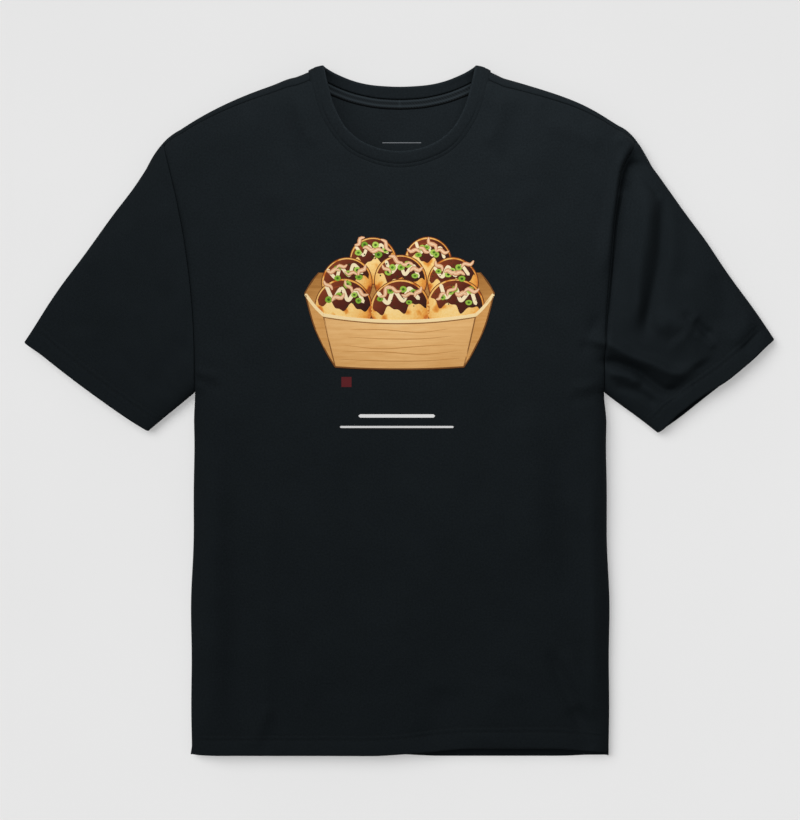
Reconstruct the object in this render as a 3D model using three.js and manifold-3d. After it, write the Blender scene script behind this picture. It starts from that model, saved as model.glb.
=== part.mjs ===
// An oversized crew-neck T-shirt of heavy cotton jersey, lying on its back with the front up and a little
// air between its layers. Units are millimetres. +X runs to the sleeve on the viewer's right, +Y from the
// hem to the collar, +Z up. The origin is on the surface below the middle of the shirt's outline.
//
// The cloth is made as one hollow skin: an outer body minus the hollow inside it, each a torso and two
// sleeves. The skin is then cut along the sewing lines into the front, the back and the sleeves. The neck
// rib and the neck tape are strips of their own.
import * as THREE from "three";
import { mergeVertices } from "three/addons/utils/BufferGeometryUtils.js";
import Module from "manifold-3d";

const wasm = await Module();
wasm.setup();

// ---- Driving dimensions ----
const LENGTH = 760; // top of the collar to the hem
const SPREAD = 824; // cuff to cuff
const HEM_WIDTH = 458;
const UNDERARM_WIDTH = 450;
const SHOULDER_WIDTH = 520; // between the tops of the two armholes
const SHOULDER_DROP = 86; // armhole top below the collar top
const UNDERARM_DROP = 360; // underarm below the collar top
const CUFF_TOP_DROP = 304; // outer corner of a cuff below the collar top
const CUFF_WIDTH = 166; // a cuff laid flat
const CUFF_SLOPE = THREE.MathUtils.degToRad(36.5); // a cuff's lean from straight across
const CLOTH = 1.2; // thickness of the jersey
const HEM_DEPTH = 21; // turned-up hem, sewn as a double layer
const SEAM_GAP = 0.3; // between pieces that are sewn together

const NECK_WIDTH = 200; // between the collar seams, at the shoulder fold
const NECK_POINT_DROP = 7; // collar seam at the shoulder fold, below the collar top
const NECK_OPENING = 168; // between the collar's two top corners
const FRONT_SEAM_DROP = 112; // lowest point of the front collar seam
const FRONT_EDGE_DROP = 94; // lowest point of the collar's free edge
const BACK_SEAM_DROP = 37.5;
const BACK_EDGE_DROP = 24;
const RIB_THICKNESS = 2.2;
const TAPE_WIDTH = 10;
const TAPE_THICKNESS = 0.8;
const SHOULDER_LAP_AT_NECK = 12; // the back wraps over the fold by this much
const SHOULDER_LAP_AT_ARM = 6;

// Heights of the lying shirt
const FOLD_HEIGHT = 8; // where the front and the back layer meet at a side
const HEM_HEIGHT = 16;
const CHEST_HEIGHT = 30;
const SHOULDER_HEIGHT = 25; // the torso beside the armhole seams
const SLEEVE_HEIGHT = 22; // a sleeve at the armhole seam
const CUFF_HEIGHT = 15;
const UPPER_ROLL = 36; // how far in from a side the top layer is still rounded
const LOWER_ROLL = 16; // the same for the layer underneath

const { clamp, lerp, smoothstep } = THREE.MathUtils;
const point = (x, y) => new THREE.Vector2(x, y);

// ---- Places worked out from them ----
const TOP_Y = LENGTH / 2;
const HEM_Y = -LENGTH / 2;
const UNDERARM = point(UNDERARM_WIDTH / 2, TOP_Y - UNDERARM_DROP);
const SHOULDER = point(SHOULDER_WIDTH / 2, TOP_Y - SHOULDER_DROP);
const CUFF_TOP = point(SPREAD / 2, TOP_Y - CUFF_TOP_DROP);
const CUFF_BOTTOM = point(
  CUFF_TOP.x - CUFF_WIDTH * Math.cos(CUFF_SLOPE),
  CUFF_TOP.y - CUFF_WIDTH * Math.sin(CUFF_SLOPE),
);
const NECK_POINT = point(NECK_WIDTH / 2, TOP_Y - NECK_POINT_DROP);
const OUTSIDE = 60; // how far cutting bodies reach past the cloth

// ---- Outlines ----

// The upper edge of the lying shirt: shoulder, rounded corner, top of the sleeve.
const upperEdge = new THREE.CurvePath();
const shoulderStart = new THREE.Vector2().lerpVectors(NECK_POINT, SHOULDER, 0.1);
const shoulderBend = new THREE.Vector2().lerpVectors(NECK_POINT, SHOULDER, 0.5625).add(point(0, 15.5));
const cornerStart = new THREE.Vector2().lerpVectors(NECK_POINT, SHOULDER, 0.88).add(point(0, 5.5));
const cornerEnd = new THREE.Vector2().lerpVectors(SHOULDER, CUFF_TOP, 0.12);
upperEdge.add(new THREE.LineCurve(point(0, NECK_POINT.y + 30), NECK_POINT));
upperEdge.add(new THREE.LineCurve(NECK_POINT, shoulderStart));
upperEdge.add(new THREE.QuadraticBezierCurve(shoulderStart, shoulderBend, cornerStart));
upperEdge.add(new THREE.QuadraticBezierCurve(cornerStart, SHOULDER.clone().add(point(3, 4)), cornerEnd));
upperEdge.add(new THREE.LineCurve(cornerEnd, CUFF_TOP));
const upperEdgePoints = upperEdge.curves.flatMap((curve) => {
  return curve.getPoints(curve.isLineCurve ? 1 : 8).slice(0, -1);
});
upperEdgePoints.push(CUFF_TOP);

// Height in plan of a polyline that runs outwards in x. Its last stretch carries on straight.
function heightAt(points, x) {
  const at = Math.abs(x);
  const beyond = points.findIndex((p) => p.x > at);
  const next = beyond < 1 ? points.length - 1 : beyond;
  const [a, b] = [points[next - 1], points[next]];
  return lerp(a.y, b.y, (at - a.x) / (b.x - a.x));
}
// taken in is measured squarely to the edge.
function upperEdgeY(x, takenIn = 0) {
  const [before, after] = [Math.abs(x) - 2, Math.abs(x) + 2].map((at) => heightAt(upperEdgePoints, at));
  return heightAt(upperEdgePoints, x) - takenIn * Math.hypot(1, (after - before) / 4);
}

// The armhole seam bows towards the body between the underarm and the shoulder.
const ARMHOLE_BOW = 8;
function armholeX(y) {
  const along = clamp((y - UNDERARM.y) / (SHOULDER.y - UNDERARM.y), 0, 1);
  return lerp(UNDERARM.x, SHOULDER.x, along) - ARMHOLE_BOW * 4 * along * (1 - along);
}

// Half the torso's width. Between the underarm and the shoulder it reaches on into the sleeve.
const SLEEVE_REACH = 22;
function torsoHalfWidth(y) {
  if (y <= UNDERARM.y) return lerp(HEM_WIDTH, UNDERARM_WIDTH, (y - HEM_Y) / (UNDERARM.y - HEM_Y)) / 2;
  const reach = SLEEVE_REACH * clamp((y - UNDERARM.y) / 40, 0, 1) * clamp((SHOULDER.y - y) / 70, 0, 1);
  return armholeX(y) + reach;
}

// The forward shoulder seam, a little below the fold.
function shoulderSeamY(x) {
  const along = clamp((Math.abs(x) - NECK_POINT.x) / (SHOULDER.x - NECK_POINT.x), 0, 1);
  return upperEdgeY(x) - lerp(SHOULDER_LAP_AT_NECK, SHOULDER_LAP_AT_ARM, along);
}

// ---- Heights ----

// 0 at a folded edge, rounding up to 1 at reach from it.
function roll(distance, reach) {
  const short = 1 - clamp(distance / reach, 0, 1);
  return Math.sqrt(Math.max(0, 1 - short * short));
}

// The top layer stands highest over the chest.
function torsoHeight(x, y) {
  const outwards = smoothstep(Math.abs(x), SHOULDER.x - 130, SHOULDER.x);
  const chest = lerp(CHEST_HEIGHT, SHOULDER_HEIGHT, outwards);
  return lerp(HEM_HEIGHT, chest, clamp((y - HEM_Y) / (UNDERARM.y - HEM_Y), 0, 1));
}

// How far the torso has risen from its rim at a place in plan.
function torsoRise(x, y, inset, reach) {
  return roll(torsoHalfWidth(y) - inset - Math.abs(x), reach) * roll(upperEdgeY(x, inset) - y, reach);
}
function torsoTop(x, y, inset) {
  return FOLD_HEIGHT + (torsoHeight(x, y) - inset - FOLD_HEIGHT) * torsoRise(x, y, inset, UPPER_ROLL);
}
function torsoBottom(x, y, inset) {
  return FOLD_HEIGHT - (FOLD_HEIGHT - inset) * torsoRise(x, y, inset, LOWER_ROLL);
}

// ---- Solids ----

// A closed solid from a top and a bottom grid of points over one plan, with a wall round the rim.
function layeredSolid(columns, rows, top, bottom) {
  const positions = [];
  const wide = columns.length;
  for (const layer of [top, bottom])
    for (const v of rows) for (const u of columns) positions.push(...layer(u, v));
  const at = (layer, i, j) => layer * wide * rows.length + j * wide + i;
  const triangles = [];
  const quad = (a, b, c, d) => triangles.push([a, b, c], [a, c, d]);
  for (let j = 0; j + 1 < rows.length; j++)
    for (let i = 0; i + 1 < wide; i++) {
      quad(at(0, i, j), at(0, i + 1, j), at(0, i + 1, j + 1), at(0, i, j + 1));
      quad(at(1, i, j), at(1, i, j + 1), at(1, i + 1, j + 1), at(1, i + 1, j));
    }
  const rim = [];
  for (let i = 0; i < wide; i++) rim.push([i, 0]);
  for (let j = 1; j < rows.length; j++) rim.push([wide - 1, j]);
  for (let i = wide - 2; i >= 0; i--) rim.push([i, rows.length - 1]);
  for (let j = rows.length - 2; j > 0; j--) rim.push([0, j]);
  rim.forEach(([i, j], k) => {
    const [m, n] = rim[(k + 1) % rim.length];
    quad(at(1, i, j), at(1, m, n), at(0, m, n), at(0, i, j));
  });
  return manifoldOf(positions, triangles);
}

// A closed ring from the same number of section points at each station.
function ringSolid(stations) {
  const sides = stations[0].length;
  const positions = stations.flat().flatMap((p) => [p.x, p.y, p.z]);
  const triangles = [];
  stations.forEach((_, s) => {
    const next = (s + 1) % stations.length;
    for (let k = 0; k < sides; k++) {
      const [a, b] = [s * sides + k, s * sides + ((k + 1) % sides)];
      const [c, d] = [next * sides + ((k + 1) % sides), next * sides + k];
      triangles.push([a, b, c], [a, c, d]);
    }
  });
  return manifoldOf(positions, triangles);
}

function manifoldOf(positions, triangles) {
  const loose = new THREE.BufferGeometry()
    .setAttribute("position", new THREE.Float32BufferAttribute(positions, 3))
    .setIndex(triangles.flat());
  const merged = mergeVertices(loose, 1e-3);
  const index = merged.index.array;
  const kept = [];
  for (let i = 0; i < index.length; i += 3) {
    const [a, b, c] = [index[i], index[i + 1], index[i + 2]];
    if (a !== b && b !== c && c !== a) kept.push(a, b, c);
  }
  return new wasm.Manifold(
    new wasm.Mesh({
      numProp: 3,
      vertProperties: new Float32Array(merged.attributes.position.array),
      triVerts: new Uint32Array(kept),
    }),
  );
}

// An upright cutting body over a plan outline.
function prism(outline, low = -OUTSIDE, high = OUTSIDE) {
  const shape = new THREE.Shape(outline);
  const geometry = new THREE.ExtrudeGeometry(shape, { depth: high - low, bevelEnabled: false });
  geometry.translate(0, 0, low);
  geometry.deleteAttribute("normal");
  geometry.deleteAttribute("uv");
  const merged = mergeVertices(geometry, 1e-4);
  return new wasm.Manifold(
    new wasm.Mesh({
      numProp: 3,
      vertProperties: new Float32Array(merged.attributes.position.array),
      triVerts: new Uint32Array(merged.index.array),
    }),
  );
}

const mirrored = (solid) => solid.mirror([1, 0, 0]);

// Grid stations from 0 to 1, packed towards the ends that are rolled over.
function stations(flatSteps, rollSteps, rollShare, bothEnds = true) {
  const rolled = Array.from({ length: rollSteps }, (_, k) => {
    return rollShare * (1 - Math.cos((k / rollSteps) * (Math.PI / 2)));
  });
  const start = bothEnds ? rollShare : 0;
  const flat = Array.from({ length: flatSteps + 1 }, (_, k) => lerp(start, 1 - rollShare, k / flatSteps));
  const mirroredEnd = rolled.map((s) => 1 - s).reverse();
  return [...(bothEnds ? rolled : []), ...flat, ...mirroredEnd];
}

// Distance from a hem at which its turned-up layer has ended.
const HEM_END = HEM_DEPTH + 1.5;

// The torso's outer body, or the hollow inside its cloth. The hollow is narrower where the hem is double,
// and runs out past it.
function torso(hollow) {
  const columns = stations(10, 5, UPPER_ROLL / UNDERARM_WIDTH).map((s) => 2 * s - 1);
  const low = HEM_Y - (hollow ? OUTSIDE / 2 : 0);
  const start = HEM_Y + HEM_END;
  const rows = [
    [low, hollow ? 2 * CLOTH : 0, 0],
    [HEM_Y + HEM_DEPTH, hollow ? 2 * CLOTH : 0, 0],
    ...stations(12, 5, UPPER_ROLL / LENGTH, false).map((share) => [start, hollow ? CLOTH : 0, share]),
  ];
  const layer = (height) => (u, [from, inset, share]) => {
    const y = lerp(from, upperEdgeY(u * SHOULDER.x, inset), share);
    const x = u * (torsoHalfWidth(y) - inset);
    return [x, y, Math.abs(u) === 1 || share === 1 ? FOLD_HEIGHT : height(x, y, inset)];
  };
  return layeredSolid(columns, rows, layer(torsoTop), layer(torsoBottom));
}

// The sleeve on the +X side, as an outer body or the hollow inside its cloth. Both start well inside the
// torso.
function sleeve(hollow) {
  const lowEdge = new THREE.Vector2().subVectors(CUFF_BOTTOM, UNDERARM);
  const highEdge = new THREE.Vector2().subVectors(CUFF_TOP, SHOULDER);
  // A line at this distance inside the cuff, as shares of the sleeve's lower and upper edges.
  const acrossAt = (distance) => [1 - distance / lowEdge.length(), 1 - distance / highEdge.length()];
  const [lowEnd, highEnd] = acrossAt(HEM_END);
  const inset = hollow ? CLOTH : 0;
  const along = [-0.25, 0, 0.2, 0.4, 0.6, 0.8, 1].map((v) => [v * lowEnd, v * highEnd, inset]);
  along.push([...acrossAt(HEM_DEPTH), inset * 2]);
  along.push([...acrossAt(hollow ? -OUTSIDE / 2 : 0), inset * 2]);
  const wide = UNDERARM.distanceTo(SHOULDER);
  const layer = (sideways) => (u, [lowShare, highShare, taken]) => {
    const edgeX = lerp(SHOULDER.x, CUFF_TOP.x, highShare);
    const high = point(edgeX, upperEdgeY(edgeX, taken));
    const low = UNDERARM.clone().addScaledVector(lowEdge, lowShare);
    low.add(new THREE.Vector2().subVectors(high, low).setLength(taken));
    const p = new THREE.Vector2().lerpVectors(low, high, u);
    return [p.x, p.y, sideways(Math.min(u, 1 - u) * wide, highShare, taken)];
  };
  const top = layer((distance, share, taken) => {
    const height = lerp(SLEEVE_HEIGHT, CUFF_HEIGHT, clamp(share, 0, 1)) - taken - FOLD_HEIGHT;
    return FOLD_HEIGHT + height * roll(distance, UPPER_ROLL);
  });
  const bottom = layer((distance, share, taken) => {
    return FOLD_HEIGHT - (FOLD_HEIGHT - taken) * roll(distance, LOWER_ROLL);
  });
  // The plan runs clockwise from the lower edge up and the armhole out, so columns are taken backwards.
  return layeredSolid(stations(5, 5, 0.2).reverse(), along, top, bottom);
}

// ---- The neck ----

const PLAN_POWER = 2.15; // how square the front neckline is
const EDGE_HALF = NECK_OPENING / 2;
function scoop(x, halfWidth, depth) {
  const across = clamp(Math.abs(x) / halfWidth, 0, 1);
  return depth * Math.pow(1 - Math.pow(across, PLAN_POWER), 1 / PLAN_POWER);
}
const frontSeamY = (x) => NECK_POINT.y - scoop(x, NECK_POINT.x, FRONT_SEAM_DROP - NECK_POINT_DROP);
const backSeamY = (x) =>
  lerp(TOP_Y - BACK_SEAM_DROP, NECK_POINT.y, Math.pow(Math.abs(x) / NECK_POINT.x, 2.4));
const frontEdgeY = (x) => TOP_Y - scoop(x, EDGE_HALF, FRONT_EDGE_DROP);
const backEdgeY = (x) => TOP_Y - BACK_EDGE_DROP * (1 - Math.pow(Math.abs(x) / EDGE_HALF, 2.8));

// Heights of the collar's free edge, from the back centre over the shoulder to the front centre.
const EDGE_HEIGHTS = [14, 15, 21, 28, 29, 28.5];
const RING_STEPS = 80;

// One closed turn round the neck. turn is 0 at the back centre and 0.5 at the front centre.
function neckCurve(turn, half, backY, frontY) {
  const x = half * Math.sin(turn * 2 * Math.PI);
  const isBack = Math.cos(turn * 2 * Math.PI) > 0;
  return { x, y: isBack ? backY(x) : frontY(x), isBack };
}
function seamPoint(turn) {
  const { x, y, isBack } = neckCurve(turn, NECK_POINT.x, backSeamY, frontSeamY);
  return new THREE.Vector3(x, y, isBack ? torsoBottom(x, y, CLOTH) + 1 : torsoTop(x, y, CLOTH / 2));
}
function edgePoint(turn) {
  const { x, y } = neckCurve(turn, EDGE_HALF, backEdgeY, frontEdgeY);
  const wrapped = THREE.MathUtils.euclideanModulo(turn, 1);
  const along = Math.min(wrapped, 1 - wrapped) * 2 * (EDGE_HEIGHTS.length - 1);
  const k = Math.min(Math.floor(along), EDGE_HEIGHTS.length - 2);
  return new THREE.Vector3(x, y, lerp(EDGE_HEIGHTS[k], EDGE_HEIGHTS[k + 1], along - k));
}

// The rib: a folded strip that stands on the neck seam. grown makes it fatter, to clear its neighbours.
function neckRib(grown) {
  const thick = RIB_THICKNESS / 2 + grown;
  const offset = (from, direction, by) => from.clone().addScaledVector(direction, by);
  const sections = Array.from({ length: RING_STEPS }, (_, k) => {
    const turn = k / RING_STEPS;
    const rise = edgePoint(turn).sub(seamPoint(turn)).normalize();
    const forward = seamPoint(turn + 1e-3).sub(seamPoint(turn - 1e-3));
    const out = new THREE.Vector3().crossVectors(forward, rise).normalize();
    const from = offset(seamPoint(turn), rise, -grown);
    const to = offset(edgePoint(turn), rise, grown);
    const round = offset(to, rise, -thick);
    return [
      offset(from, out, thick),
      offset(from, out, -thick),
      offset(round, out, -thick),
      to,
      offset(round, out, thick),
    ];
  });
  return ringSolid(sections);
}

// The tape that covers the back neck seam, on the inside of the back.
function neckTape() {
  const columns = Array.from({ length: 21 }, (_, k) => k / 10 - 1);
  const low = CLOTH + SEAM_GAP;
  const level = (z) => (u, v) => {
    const x = u * EDGE_HALF;
    return [x, backSeamY(x) - CLOTH - TAPE_WIDTH * (1 - v), z];
  };
  return layeredSolid(columns, [0, 1], level(low + TAPE_THICKNESS), level(low));
}

// ---- Cutting the skin along its seams ----

const HALF_GAP = SEAM_GAP / 2;

// Everything past one armhole seam, moved outwards by shift.
function beyondArmhole(shift) {
  const seam = Array.from({ length: 13 }, (_, k) => {
    const y = lerp(UNDERARM.y, SHOULDER.y, k / 12);
    return point(armholeX(y) + shift, y);
  });
  const far = SPREAD;
  return prism([
    point(UNDERARM.x + shift + 30, UNDERARM.y - 90),
    point(far, UNDERARM.y - 90),
    point(far, TOP_Y),
    point(SHOULDER.x + shift + 30, TOP_Y),
    ...seam.reverse(),
  ]);
}

// Everything above the shoulder seams, moved up by shift.
function aboveShoulderSeam(shift) {
  const steps = 24;
  const seam = Array.from({ length: steps + 1 }, (_, k) => {
    const x = lerp(-SHOULDER.x - OUTSIDE, SHOULDER.x + OUTSIDE, k / steps);
    return point(x, shoulderSeamY(x) + shift);
  });
  const far = SHOULDER.x + OUTSIDE;
  return prism([...seam, point(far, TOP_Y + OUTSIDE), point(-far, TOP_Y + OUTSIDE)]);
}

// The hole in one layer inside a neckline, out past the top of the shirt.
function neckHole(seamY, low, high) {
  const steps = 32;
  const line = Array.from({ length: steps + 1 }, (_, k) => {
    const x = -Math.cos((k / steps) * Math.PI) * NECK_POINT.x;
    return point(x, seamY(x));
  });
  const far = TOP_Y + OUTSIDE;
  return prism([...line, point(NECK_POINT.x, far), point(-NECK_POINT.x, far)], low, high);
}

// Everything above a height.
function above(low) {
  const far = SPREAD;
  return prism([point(-far, -far), point(far, -far), point(far, far), point(-far, far)], low);
}

// The skin of the whole shirt, with its hems turned up as double layers.
function skin() {
  const whole = (hollow) => {
    const arm = sleeve(hollow);
    return torso(hollow).add(arm).add(mirrored(arm));
  };
  return whole(false).subtract(whole(true));
}

const rib = neckRib(0);
const ribRoom = neckRib(SEAM_GAP).add(rib);
const cloth = skin()
  .subtract(neckHole(frontSeamY, FOLD_HEIGHT, OUTSIDE))
  .subtract(neckHole(backSeamY, -OUTSIDE, FOLD_HEIGHT))
  .subtract(ribRoom);
const armsOff = beyondArmhole(-HALF_GAP).add(mirrored(beyondArmhole(-HALF_GAP)));
const body = cloth.subtract(armsOff);
const frontSolid = body.intersect(above(FOLD_HEIGHT + HALF_GAP).subtract(aboveShoulderSeam(-HALF_GAP)));
const backSolid = body.subtract(above(FOLD_HEIGHT - HALF_GAP).subtract(aboveShoulderSeam(HALF_GAP)));
const sleeveSolid = cloth.intersect(beyondArmhole(HALF_GAP));
const tapeSolid = neckTape().subtract(ribRoom);

// ---- The part ----

const jersey = new THREE.MeshStandardMaterial({ color: 0x181d20, roughness: 0.9, metalness: 0 });
const ribKnit = new THREE.MeshStandardMaterial({ color: 0x191e21, roughness: 0.92, metalness: 0 });
const twill = new THREE.MeshStandardMaterial({ color: 0x1b2023, roughness: 0.85, metalness: 0 });

function meshOf(name, solid, material) {
  const largest = solid.decompose().reduce((a, b) => (b.volume() > a.volume() ? b : a));
  const made = largest.getMesh();
  const geometry = new THREE.BufferGeometry()
    .setAttribute("position", new THREE.BufferAttribute(made.vertProperties, 3))
    .setIndex(new THREE.BufferAttribute(made.triVerts, 1));
  geometry.computeVertexNormals();
  const mesh = new THREE.Mesh(geometry, material);
  mesh.name = name;
  return mesh;
}

const shirt = new THREE.Group();
shirt.add(
  meshOf("body_front", frontSolid, jersey),
  meshOf("body_back", backSolid, jersey),
  meshOf("sleeve_right", sleeveSolid, jersey),
  meshOf("sleeve_left", mirrored(sleeveSolid), jersey),
  meshOf("neck_rib", rib, ribKnit),
  meshOf("neck_tape", tapeSolid, twill),
);

export default shirt;
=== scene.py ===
"""The looks of an oversized crew-neck T-shirt of heavy black jersey, lying on its back with its front up.

The front, the back and the sleeves are thin cloth shells filled in from their cutting outlines and lifted to
the height at which each lies. The collar is a ribbed band on the neck seam. Hem, cuff and neck stitches are
set along their seams by Geometry Nodes. The chest print is thin fields of ink that follow the cloth.
Lengths in this file are millimetres until a mesh is made, which is in metres.
"""

import math

import bpy
import numpy as np
from bpy.props import FloatProperty, FloatVectorProperty, PointerProperty
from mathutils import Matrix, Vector, kdtree, noise
from mathutils.geometry import delaunay_2d_cdt


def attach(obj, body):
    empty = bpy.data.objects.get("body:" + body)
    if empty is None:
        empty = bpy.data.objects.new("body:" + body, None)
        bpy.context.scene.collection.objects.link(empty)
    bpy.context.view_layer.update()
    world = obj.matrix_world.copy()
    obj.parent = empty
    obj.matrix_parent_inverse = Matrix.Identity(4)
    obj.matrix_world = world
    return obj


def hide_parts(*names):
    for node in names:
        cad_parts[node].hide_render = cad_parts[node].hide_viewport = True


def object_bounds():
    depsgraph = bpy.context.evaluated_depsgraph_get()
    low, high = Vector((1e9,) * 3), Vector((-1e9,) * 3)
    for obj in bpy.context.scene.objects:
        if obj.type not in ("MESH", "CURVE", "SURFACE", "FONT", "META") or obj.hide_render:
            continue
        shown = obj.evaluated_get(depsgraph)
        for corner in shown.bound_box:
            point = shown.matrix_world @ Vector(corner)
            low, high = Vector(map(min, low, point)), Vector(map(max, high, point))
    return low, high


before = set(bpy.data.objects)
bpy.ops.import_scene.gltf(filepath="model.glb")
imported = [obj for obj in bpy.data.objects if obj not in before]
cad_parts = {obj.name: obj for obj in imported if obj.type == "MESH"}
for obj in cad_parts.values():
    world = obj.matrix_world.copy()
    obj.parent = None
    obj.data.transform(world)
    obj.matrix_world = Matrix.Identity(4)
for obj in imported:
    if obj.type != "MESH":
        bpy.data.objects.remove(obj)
CAD_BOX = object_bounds()

bl_info = {
    "name": "Crew-neck T-shirt",
    "version": (1, 0, 0),
    "blender": (4, 5, 0),
    "location": "3D View > Sidebar > T-shirt",
    "description": "Builds an oversized crew-neck T-shirt lying flat, with its seams, collar and chest print",
    "category": "Add Mesh",
}

MM = 0.001
BODY = "root"
SEAM_GAP = 0.15  # each panel stops this far short of its seam


# ---- Small mathematics ----


def roll(distance, reach):
    """0 at a folded edge, rounding up to 1 at reach from it."""
    short = 1 - np.clip(distance / reach, 0, 1)
    return np.sqrt(np.maximum(0, 1 - short * short))


def smooth(t):
    """An eased step from 0 to 1."""
    t = np.clip(t, 0, 1)
    return t * t * (3 - 2 * t)


def mix(a, b, t):
    return a + (b - a) * t


def bell(distance, width):
    """1 at no distance, falling smoothly to nearly 0 at twice the width."""
    return np.exp(-((distance / width) ** 2))


def rounded_path(points, step):
    """A smooth line through the points, with a point about every step."""
    points = np.array(points, float)
    ends = np.vstack([2 * points[0] - points[1], points, 2 * points[-1] - points[-2]])
    line = []
    for i in range(1, len(ends) - 2):
        a, b, c, d = ends[i - 1 : i + 3]
        count = max(2, int(np.linalg.norm(c - b) / step))
        for t in np.arange(count) / count:
            curved = (2 * a - 5 * b + 4 * c - d) * t * t + (3 * b - a - 3 * c + d) * t**3
            line.append(0.5 * (2 * b + (c - a) * t + curved))
    line.append(points[-1])
    return np.array(line)


def nearest_on(line, x, y):
    """Distance from a line to each place, and how far along the line the nearest point is, from 0 to 1."""
    best = np.full(np.shape(x), 1e9)
    along = np.zeros(np.shape(x))
    count = len(line) - 1
    for i in range(count):
        (ax, ay), (bx, by) = line[i], line[i + 1]
        dx, dy = bx - ax, by - ay
        t = np.clip(((x - ax) * dx + (y - ay) * dy) / max(dx * dx + dy * dy, 1e-9), 0, 1)
        away = np.hypot(x - ax - t * dx, y - ay - t * dy)
        nearer = away < best
        best = np.where(nearer, away, best)
        along = np.where(nearer, (i + t) / count, along)
    return best, along


def wander(x, y, scale, seed):
    """Smooth noise from about -1 to 1, whose lumps are about scale across."""
    flat_x, flat_y = np.ravel(x) / scale, np.ravel(y) / scale
    values = [noise.noise(Vector((a, b, seed))) for a, b in zip(flat_x, flat_y)]
    return np.array(values).reshape(np.shape(x)) * 1.6


# ---- Folds of the cloth: height, half width, and the line that each follows ----

FOLDS = (
    # the viewer's right sleeve, crumpled where it leaves the shoulder and sunk along its armhole
    (5.0, 7.5, ((262, 300), (256, 290), (247, 270), (235, 222), (227, 176), (223, 140))),
    (6.5, 7, ((236, 299), (248, 293), (259, 285), (268, 276))),
    (-6.5, 6, ((266, 290), (257, 272), (254, 252), (250, 234))),
    (-3.0, 7.5, ((262, 262), (256, 246), (249, 208), (243.5, 172), (238, 136), (235, 100), (234, 80))),
    (-3.0, 4.5, ((262, 268), (270, 256), (279, 242), (285, 230))),
    (7.5, 9.0, ((272, 254), (272.5, 220), (269, 184), (263, 148), (259, 112), (255.5, 82))),
    (-6.5, 8.0, ((287, 246), (287.5, 208), (286.5, 172), (281.5, 144), (274.5, 112), (267.5, 70))),
    (-2.6, 14, ((312, 226), (314, 180), (310, 130))),
    (6.0, 13, ((276, 84), (294, 96), (312, 92), (334, 102))),
    (-4.0, 5.5, ((310, 110), (324, 94), (336, 84), (348, 80))),
    (5.0, 13, ((302, 84), (317, 68), (330, 46))),
    # the fold that runs from the body through the underarm to the cuff
    (8.0, 7, ((190, 78), (213, 77), (234, 70), (255, 58), (277, 50.5), (298, 41), (312, 42), (328, 54))),
    (-8.0, 6, ((210, 54), (230, 53), (246, 50), (262, 43), (277, 31.5), (293, 22), (306, 24), (318, 34))),
    (3.8, 5, ((226, 40), (240, 38.5), (252, 36), (266, 26))),
    (-3.4, 5.5, ((228, 25), (250, 24), (270, 15), (284, 2))),
    (-2.8, 6, ((322, 100), (333, 91), (343, 82))),
    (2.4, 5.5, ((322, 86), (335, 78), (346, 66))),
    (-2.6, 13, ((352, 156), (356, 120), (350, 86))),
    (2.8, 9, ((394, 116), (379, 92), (362, 68))),
    (-2.2, 6, ((404, 96), (390, 80), (374, 62))),
    # the viewer's left sleeve, nearly smooth
    (-2.6, 16, ((-338, 168), (-348, 118), (-350, 74))),
    (2.0, 20, ((-306, 220), (-322, 150), (-326, 70))),
    (-2.4, 15, ((-228, 82), (-246, 60), (-262, 34), (-284, 14))),
    (1.6, 12, ((-262, 236), (-262, 178), (-254, 120))),
    (-1.6, 5, ((-262, 262), (-246, 220), (-236, 176), (-231, 110), (-230, 40))),
    # small creases at the underarms
    (2.0, 5, ((-226, 46), (-214, 40), (-196, 38))),
    (-1.6, 5, ((-226, 34), (-208, 26), (-190, 24))),
    (-1.9, 6, ((222, 104), (214, 96), (204, 72), (196, 58))),
    (1.8, 5, ((222, 34), (206, 26), (186, 26))),
    (-1.4, 6, ((222, 20), (204, 12), (182, 12))),
    # the body
    (-5.0, 19, ((-178, 10), (-176, -110), (-174, -240), (-174, -374))),
    (3.6, 15, ((-208, -30), (-207, -130), (-205, -250), (-203, -376))),
    (2.6, 13, ((-148, -100), (-146, -220), (-148, -320), (-162, -374))),
    (2.2, 8, ((-142, -318), (-152, -346), (-162, -374))),
    (3.4, 17, ((134, 16), (143, -70), (152, -170))),
    (-2.2, 15, ((172, -10), (178, -120), (182, -230))),
    (3.0, 10, ((206, -60), (210, -150), (212, -250), (214, -350))),
    (-3.4, 7.5, ((160, -258), (176, -294), (190, -326), (206, -356))),
    (2.8, 9, ((178, -256), (196, -300), (212, -344))),
    (3.2, 28, ((96, -376), (104, -336), (112, -290))),
    (-2.2, 17, ((30, -378), (40, -340), (54, -300))),
    (-2.4, 12, ((206, -378), (199, -352), (188, -322))),
    (-1.6, 24, ((-60, -40), (-40, -130), (-30, -240))),
    (1.4, 26, ((20, -60), (30, -150), (24, -260))),
    # across the chest and beside the collar
    (-2.0, 10, ((150, 336), (186, 322), (214, 306))),
    (1.8, 9, ((150, 312), (190, 300), (226, 286))),
    (-1.8, 10, ((-150, 336), (-186, 322), (-214, 306))),
    (2.4, 8, ((-112, 348), (-106, 316), (-92, 284))),
    (2.4, 8, ((112, 348), (106, 316), (92, 284))),
    (-2.2, 11, ((-134, 340), (-124, 296), (-108, 258))),
    (-2.2, 11, ((134, 340), (124, 296), (108, 258))),
    (1.4, 14, ((-146, 250), (-120, 214), (-116, 160))),
    (1.4, 14, ((156, 250), (128, 214), (124, 160))),
)


# ---- The cut ----

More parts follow.
